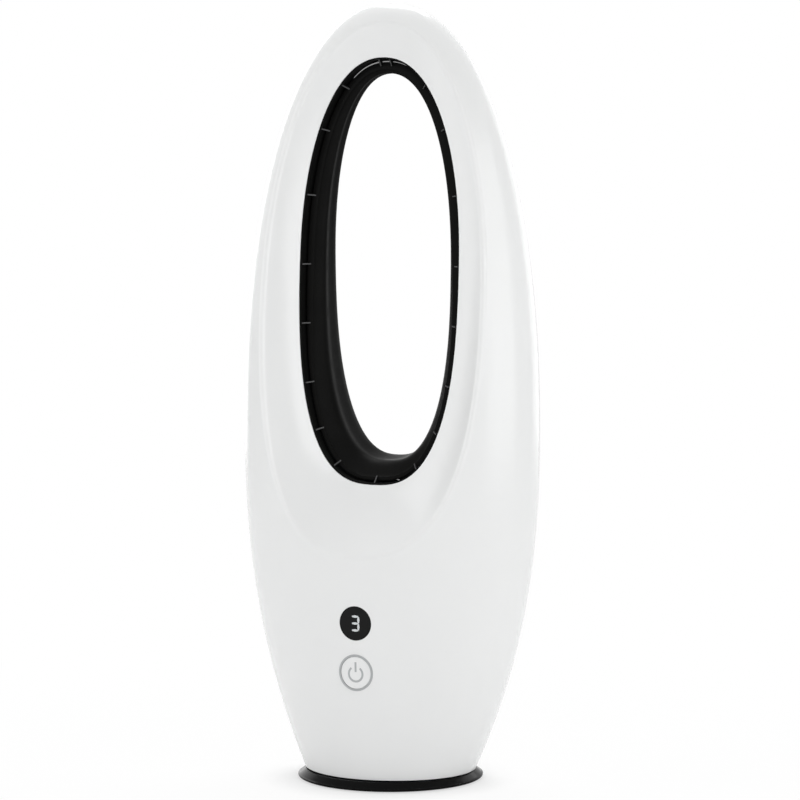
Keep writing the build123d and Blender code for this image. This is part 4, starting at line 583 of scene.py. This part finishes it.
def crown_sheet(bm):
    """A sheet that follows the liner's wall in the slot's crown, from its front edge back, to
    carry the painted glow.
    """
    tree = surface_tree("nozzle_liner")
    start = slot_point(CROWN_PROBE_TURN, CROWN_PROBE_START)
    inward = (slot_point(CROWN_PROBE_TURN, CROWN_PROBE_END) - start).normalized()
    for vertex, along, deep in unit_grid(bm, columns=32, rows=8):
        back = Vector((0, SLOT_FRONT_Y + CROWN_START + CROWN_DEPTH * deep, 0))
        gap = tree.ray_cast(start + back, inward)[3]
        turn = CROWN_TURN + (math.pi - 2 * CROWN_TURN) * along
        vertex.co = slot_point(turn, CROWN_PROBE_START - gap + CROWN_PROUD) + back


# ---- Operators: one for each group of pieces ----
class FAN_OT_shells(bpy.types.Operator):
    """Polish the front and rear shells and the intake panel"""

    bl_idname = "fan.shells"
    bl_label = "Shells"

    def execute(self, context):
        white = context.scene.fan_colours.white
        dress(polished_white("white_gloss", white), "front_shell", "rear_shell")
        dress(satin_white("white_satin", white), "intake_grille")
        dress(foam("filter_foam", FOAM_GREY), "dust_filter")
        return {"FINISHED"}


class FAN_OT_liner(bpy.types.Operator):
    """Finish the black liner, lay painted highlights on its ribs' front edges, and a pale sheet
    that glows as painted light in its crown
    """

    bl_idname = "fan.liner"
    bl_label = "Nozzle liner"

    def execute(self, context):
        colours = context.scene.fan_colours
        charcoal = satin_black("liner_black", colours.charcoal, roughness=0.42, shine=0.02)
        dress(charcoal, "nozzle_liner")
        self.lay_rib_painted_highlights(context)
        self.lay_crown_painted_glow()
        return {"FINISHED"}

    def lay_rib_painted_highlights(self, context):
        """A lighter strip on the front edge of each rib: a painted highlight."""
        sizes = context.scene.fan_sizes
        bm = bmesh.new()
        for middle, outward in rib_places():
            rib_highlight_strip(bm, middle, outward, sizes.rib_highlight_width)
        lay_on_front(bm, "nozzle_liner", sizes.print_thickness)
        thicken(bm, (0, sizes.print_thickness / 2, 0))
        # painted highlight: a grey much lighter than the liner, standing in for light caught by
        # the ribs' rounded front edges
        highlight_paint = moulded("rib_painted_highlight", context.scene.fan_colours.rib, roughness=0.5)
        finished_object("rib_painted_highlights", bm, highlight_paint, "tower")

    def lay_crown_painted_glow(self):
        """A pale sheet between the topmost ribs that glows as painted light."""
        bm = bmesh.new()
        crown_sheet(bm)
        thicken(bm, (0, 0, -CROWN_THICKNESS))
        # painted light: the sheet glows though no lamp is there, standing in for the lit white
        # inside seen through the slot
        pale = glow("crown_painted_glow", CROWN_PAINTED_LIGHT, strength=1.3)
        finished_object("crown_painted_glow_sheet", bm, pale, "tower")


class FAN_OT_base(bpy.types.Operator):
    """Finish the base, its feet and weight, and every screw"""

    bl_idname = "fan.base"
    bl_label = "Base"

    def execute(self, context):
        colours = context.scene.fan_colours
        dress(polished_black("black_gloss", colours.black), "base_plate")
        cover = satin_black("cover_black", scaled(colours.charcoal, 4.0), roughness=0.5)
        dress(cover, "base_cover")
        dress(rubber("rubber", RUBBER_BLACK), "base_feet")
        dress(plated_sheet("weight_steel", WEIGHT_ZINC), "base_weight")
        screws = turned_metal("screw_steel", SCREW_STEEL, roughness=0.34)
        dress(screws, "base_screws", "floor_screws", "stepper_screws", "plate_screws")
        dress(screws, "control_screws", "shell_screws", "inlet_nut")
        return {"FINISHED"}


class FAN_OT_oscillation(bpy.types.Operator):
    """Finish the spindle, gears, stepper motor and floor"""

    bl_idname = "fan.oscillation"
    bl_label = "Oscillation"

    def execute(self, context):
        grey = moulded("grey_plastic", context.scene.fan_colours.grey)
        dress(grey, "spindle", "chassis_floor", "air_guide_plate", "impeller", "impeller_nut")
        slip = moulded("slip_plastic", ACETAL, roughness=0.32)
        dress(slip, "glide_ring", "sun_gear", "pinion_gear", "pivot_bushing")
        dress(plated_sheet("motor_steel", STEPPER_ZINC), "stepper_motor")
        ground = turned_metal("steel", GROUND_STEEL, roughness=0.22)
        dress(ground, "retaining_ring", "stepper_shaft", "motor_shaft", "motor_bearings")
        return {"FINISHED"}


class FAN_OT_air_mover(bpy.types.Operator):
    """Finish the duct, motor and diffuser"""

    bl_idname = "fan.air_mover"
    bl_label = "Air mover"

    def execute(self, context):
        charcoal = context.scene.fan_colours.charcoal
        duct = satin_black("duct_black", scaled(charcoal, 4.5), roughness=0.48)
        dress(duct, "fan_duct", "diffuser")
        soft = rubber("damper_rubber", DAMPER_BLACK)
        dress(soft, "duct_gasket", "motor_dampers", "cable_grommet")
        dress(plated_sheet("can_steel", CAN_ZINC), "motor_housing", "motor_end_cap")
        core = turned_metal("core_steel", CORE_STEEL, roughness=0.4, fineness=30)
        dress(core, "stator_core")
        dress(coil_wire("copper", COPPER), "stator_windings")
        dress(moulded("magnet", FERRITE, roughness=0.5), "rotor_magnet")
        return {"FINISHED"}


class FAN_OT_electronics(bpy.types.Operator):
    """Finish the boards, what is on them, and the cables"""

    bl_idname = "fan.electronics"
    bl_label = "Electronics"

    def execute(self, context):
        charcoal = context.scene.fan_colours.charcoal
        dress(circuit("circuit_board", SOLDER_MASK), "control_board", "main_board")
        dress(moulded("plug_white", PLUG_WHITE, roughness=0.35), "board_connectors")
        black = satin_black("component_black", scaled(charcoal, 4.0), roughness=0.4)
        dress(black, "board_capacitors", "buzzer", "power_inlet")
        dress(black, "button_switch", "switch_plunger")
        cooler = turned_metal("aluminium", ALUMINIUM, roughness=0.32, fineness=8)
        dress(cooler, "board_heatsink")
        sheath = rubber("cable_black", SHEATH_BLACK)
        dress(sheath, "motor_cable", "stepper_cable", "inlet_cable", "control_cable")
        return {"FINISHED"}


DIGIT_GAP = 0.12 * MM  # left between two bars of the digit


class FAN_OT_display(bpy.types.Operator):
    """Finish the display's window and lay the lit digit on it"""

    bl_idname = "fan.display"
    bl_label = "Display"

    def execute(self, context):
        colours = context.scene.fan_colours
        dress(polished_black("window_black", WINDOW_BLACK), "display_lens", "remote_receiver")
        dress(satin_black("module_black", MODULE_BLACK), "digit_display")
        dress(glow("light_bars", colours.light), "digit_segments")
        self.lay_digit(context.scene.fan_sizes, colours)
        return {"FINISHED"}

    def lay_digit(self, sizes, colours):
        """A lit 3: three level bars, and two upright ones at the right."""
        low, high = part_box("display_lens")
        middle_z = (low.z + high.z) / 2
        across = sizes.digit_width - sizes.digit_stroke
        half_rise = (sizes.digit_height - sizes.digit_stroke) / 2
        bm = bmesh.new()
        for level in (-1, 0, 1):
            z = middle_z + level * half_rise
            tapered_bar(bm, across - DIGIT_GAP, sizes.digit_stroke, 0.0, 0.0, z)
        for level in (-1, 1):
            z = middle_z + level * half_rise / 2
            tapered_bar(bm, half_rise - DIGIT_GAP, sizes.digit_stroke, QUARTER, across / 2, z)
        bmesh.ops.subdivide_edges(bm, edges=bm.edges, cuts=2, use_grid_fill=True)
        lay_on_front(bm, "display_lens", sizes.print_thickness)
        thicken(bm, (0, sizes.print_thickness / 2, 0))
        lit = glow("lit_digit", colours.light, strength=0.3)
        finished_object("lit_digit", bm, lit, "tower")


ICON_DROP = 1.0 * MM  # of the sign's centre, below the middle of the button's ring
ICON_BAR_START = 1.6 * MM  # from the sign's centre up to its bar
ICON_STEPS = 48  # along the sign's arc


class FAN_OT_button(bpy.types.Operator):
    """Finish the button and its ring, and print the power sign on it"""

    bl_idname = "fan.button"
    bl_label = "Power button"

    def execute(self, context):
        sizes = context.scene.fan_sizes
        colours = context.scene.fan_colours
        dress(polished_white("button_white", colours.white), "power_button")
        dress(turned_metal("silver", colours.silver, roughness=0.3), "button_ring")
        low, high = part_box("button_ring")
        bm = bmesh.new()
        self.make_arc(bm, sizes)
        self.make_bar(bm, sizes)
        centre = (0, 0, (low.z + high.z) / 2 - ICON_DROP)
        bmesh.ops.translate(bm, verts=bm.verts, vec=centre)
        lay_on_front(bm, "power_button", sizes.print_thickness)
        thicken(bm, (0, sizes.print_thickness / 2, 0))
        ink = moulded("sign_ink", colours.sign, roughness=0.4)
        finished_object("power_sign", bm, ink, "button")
        return {"FINISHED"}

    def make_arc(self, bm, sizes):
        """The sign's arc, open at the top, round the origin in the XZ plane."""
        start = QUARTER + sizes.icon_gap / 2
        half = sizes.icon_stroke / 2
        across = [
            bm.verts.new((radius * math.cos(start), 0, radius * math.sin(start)))
            for radius in (sizes.icon_radius - half, sizes.icon_radius, sizes.icon_radius + half)
        ]
        line = [bm.edges.new(pair) for pair in zip(across, across[1:])]
        bmesh.ops.spin(
            bm,
            geom=across + line,
            cent=(0, 0, 0),
            axis=(0, -1, 0),
            angle=math.tau - sizes.icon_gap,
            steps=ICON_STEPS,
        )

    def make_bar(self, bm, sizes):
        """The sign's upright bar, above the origin in the XZ plane."""
        for vertex, across, up in unit_grid(bm, columns=2, rows=8):
            x = (across - 0.5) * sizes.icon_stroke
            vertex.co = (x, 0, ICON_BAR_START + up * sizes.icon_bar)


# ---- The studio. Lengths in metres and powers in watts ----
class SoftBox(NamedTuple):
    """A rectangular lamp, which hangs at a place and shines at an aim."""

    name: str
    place: tuple
    aim: tuple
    width: float
    height: float
    power: float


FAN_MIDDLE = (0.0, 0.0, 0.3)
SOFT_BOXES = (
    SoftBox("front_box", (0.5, -2.5, 0.9), FAN_MIDDLE, 1.3, 1.0, 10.5),
    SoftBox("left_box", (-1.9, -1.0, 0.85), FAN_MIDDLE, 1.6, 1.6, 12.0),
    SoftBox("right_box", (2.0, -0.8, 0.7), FAN_MIDDLE, 1.5, 1.6, 14.8),
    SoftBox("top_box", (-0.3, 0.7, 1.9), (0.0, 0.0, 0.2), 0.9, 0.9, 18.0),
    SoftBox("back_box", (0.9, 2.0, 0.8), FAN_MIDDLE, 1.6, 1.6, 11.5),
    SoftBox("back_fill", (-1.5, 1.6, 0.8), FAN_MIDDLE, 1.6, 1.6, 9.5),
)

# How much of the floor that the camera sees is plain white; the rest takes light and shadow
UNDER_BASE_SHARE = 0.58
ROUND_BASE_SHARE = 0.34  # more, from just outside the base
BASE_EDGE = 0.088
BASE_EDGE_SOFT = 0.02
FAR_SHARE = 0.08  # and more again, far from it
FAR_EDGE = 0.45
FAR_EDGE_SOFT = 0.2
MIRRORED_SHARE = 0.4  # of the floor that a polished piece mirrors

# The light from all round, by how steeply it comes from above: 0 is level and 1 is overhead
SKY_COLOUR = (0.985, 0.995, 0.99)
SKY_LEVEL_STRENGTH = 0.62
SKY_STEEP_STRENGTH = 0.45
SKY_STEEP = 0.9

SENSOR_WIDTH = 36.0  # millimetres, as the camera's lens is
CLIP_START = 0.05
CLIP_END = 200.0


class FAN_OT_studio(bpy.types.Operator):
    """Make the floor, the lamps and the camera"""

    bl_idname = "fan.studio"
    bl_label = "Studio"

    def execute(self, context):
        self.make_floor(context)
        self.make_world(context)
        self.make_lamps(context)
        self.make_camera(context)
        context.scene.view_settings.view_transform = "Standard"
        return {"FINISHED"}

    def make_floor(self, context):
        """A pale floor that keeps the fan's shadow and is white far away."""
        bm = bmesh.new()
        reach = context.scene.fan_studio.floor_reach
        bmesh.ops.create_grid(bm, x_segments=8, y_segments=8, size=reach)
        mesh = bpy.data.meshes.new("floor")
        bm.to_mesh(mesh)
        bm.free()
        floor = bpy.data.objects.new("floor", mesh)
        context.scene.collection.objects.link(floor)
        mesh.materials.append(self.floor_paper().material)

    def floor_paper(self):
        """Matt paper that the camera sees whiter the farther it lies from the fan's axis."""
        paper = Finish("floor_paper", PAPER_GREY, roughness=0.8, shine=0.0)
        x = paper.axis("X")
        y = paper.axis("Y")
        away = (x * x + y * y).root()
        near = UNDER_BASE_SHARE + away.above(BASE_EDGE, BASE_EDGE_SOFT) * ROUND_BASE_SHARE
        far = away.above(FAR_EDGE, FAR_EDGE_SOFT) * FAR_SHARE
        seen = paper.ray("Camera").at_least(paper.ray("Transmission"))
        share = seen * (near + far) + paper.ray("Glossy") * MIRRORED_SHARE
        white = paper.node("ShaderNodeEmission", {}, {"Color": opaque(WHITE), "Strength": 1.0})
        shaders = {0: share, 1: paper.shader, 2: white}
        paper.show(paper.node("ShaderNodeMixShader", {}, shaders))
        return paper

    def make_world(self, context):
        """White where the camera looks past the fan, and soft grey light from all round."""
        world = bpy.data.worlds.new("studio")
        context.scene.world = world
        world.use_nodes = True
        sky = Nodes(world.node_tree, "ShaderNodeOutputWorld")
        way = sky.node("ShaderNodeTexCoord", output="Generated")
        level = {
            "Value": sky.node("ShaderNodeSeparateXYZ", {}, {0: way}, "Z"),
            "From Max": SKY_STEEP,
            "To Min": SKY_LEVEL_STRENGTH,
            "To Max": SKY_STEEP_STRENGTH,
        }
        grey = {
            "Color": opaque(SKY_COLOUR),
            "Strength": sky.node("ShaderNodeMapRange", {}, level),
        }
        white = {"Color": opaque(WHITE), "Strength": 1.0}
        shaders = {
            0: sky.ray("Camera").at_least(sky.ray("Glossy")).at_least(sky.ray("Transmission")),
            1: sky.node("ShaderNodeBackground", {}, grey),
            2: sky.node("ShaderNodeBackground", {}, white),
        }
        sky.show(sky.node("ShaderNodeMixShader", {}, shaders))

    def make_lamps(self, context):
        """Soft boxes in front, behind and above."""
        for box in SOFT_BOXES:
            data = bpy.data.lights.new(box.name, "AREA")
            data.shape = "RECTANGLE"
            data.size = box.width
            data.size_y = box.height
            data.energy = box.power
            lamp = bpy.data.objects.new(box.name, data)
            lamp.location = box.place
            lamp.visible_camera = False
            way = Vector(box.aim) - Vector(box.place)
            lamp.rotation_euler = way.to_track_quat("-Z", "Y").to_euler()
            context.scene.collection.objects.link(lamp)

    def make_camera(self, context):
        """The camera, at the photograph's place."""
        studio = context.scene.fan_studio
        data = bpy.data.cameras.new("camera")
        data.lens = studio.lens
        data.sensor_width = SENSOR_WIDTH
        data.clip_start = CLIP_START
        data.clip_end = CLIP_END
        camera = bpy.data.objects.new("camera", data)
        flat = math.cos(studio.elevation)
        x = math.sin(studio.azimuth) * flat
        y = -math.cos(studio.azimuth) * flat
        back = Vector((x, y, math.sin(studio.elevation)))
        camera.location = Vector(studio.target) + back * studio.distance
        camera.rotation_euler = (-back).to_track_quat("-Z", "Y").to_euler()
        context.scene.collection.objects.link(camera)
        context.scene.camera = camera


class FAN_PT_panel(bpy.types.Panel):
    """Lists the steps in the sidebar"""

    bl_idname = "FAN_PT_panel"
    bl_label = "Bladeless fan"
    bl_space_type = "VIEW_3D"
    bl_region_type = "UI"
    bl_category = "Fan"

    def draw(self, context):
        column = self.layout.column()
        for step in STEPS:
            column.operator(step.bl_idname)
        for group in ("fan_sizes", "fan_colours", "fan_studio"):
            settings = getattr(context.scene, group)
            box = self.layout.box()
            for name in settings.__annotations__:
                box.prop(settings, name)


STEPS = (
    FAN_OT_shells,
    FAN_OT_liner,
    FAN_OT_base,
    FAN_OT_oscillation,
    FAN_OT_air_mover,
    FAN_OT_electronics,
    FAN_OT_display,
    FAN_OT_button,
    FAN_OT_studio,
)
GROUPS = {"fan_sizes": FanSizes, "fan_colours": FanColours, "fan_studio": FanStudio}


def register():
    """Registers the classes and hangs the settings on the scene."""
    for group in GROUPS.values():
        bpy.utils.register_class(group)
    for step in STEPS:
        bpy.utils.register_class(step)
    bpy.utils.register_class(FAN_PT_panel)
    for name, group in GROUPS.items():
        setattr(bpy.types.Scene, name, PointerProperty(type=group))


def unregister():
    """Takes back what register did."""
    for name in GROUPS:
        delattr(bpy.types.Scene, name)
    bpy.utils.unregister_class(FAN_PT_panel)
    for step in reversed(STEPS):
        bpy.utils.unregister_class(step)
    for group in reversed(list(GROUPS.values())):
        bpy.utils.unregister_class(group)


def main():
    """Registers the classes, then runs every step in order."""
    register()
    for step in STEPS:
        group, name = step.bl_idname.split(".")
        getattr(getattr(bpy.ops, group), name)()


if __name__ == "__main__":
    main()
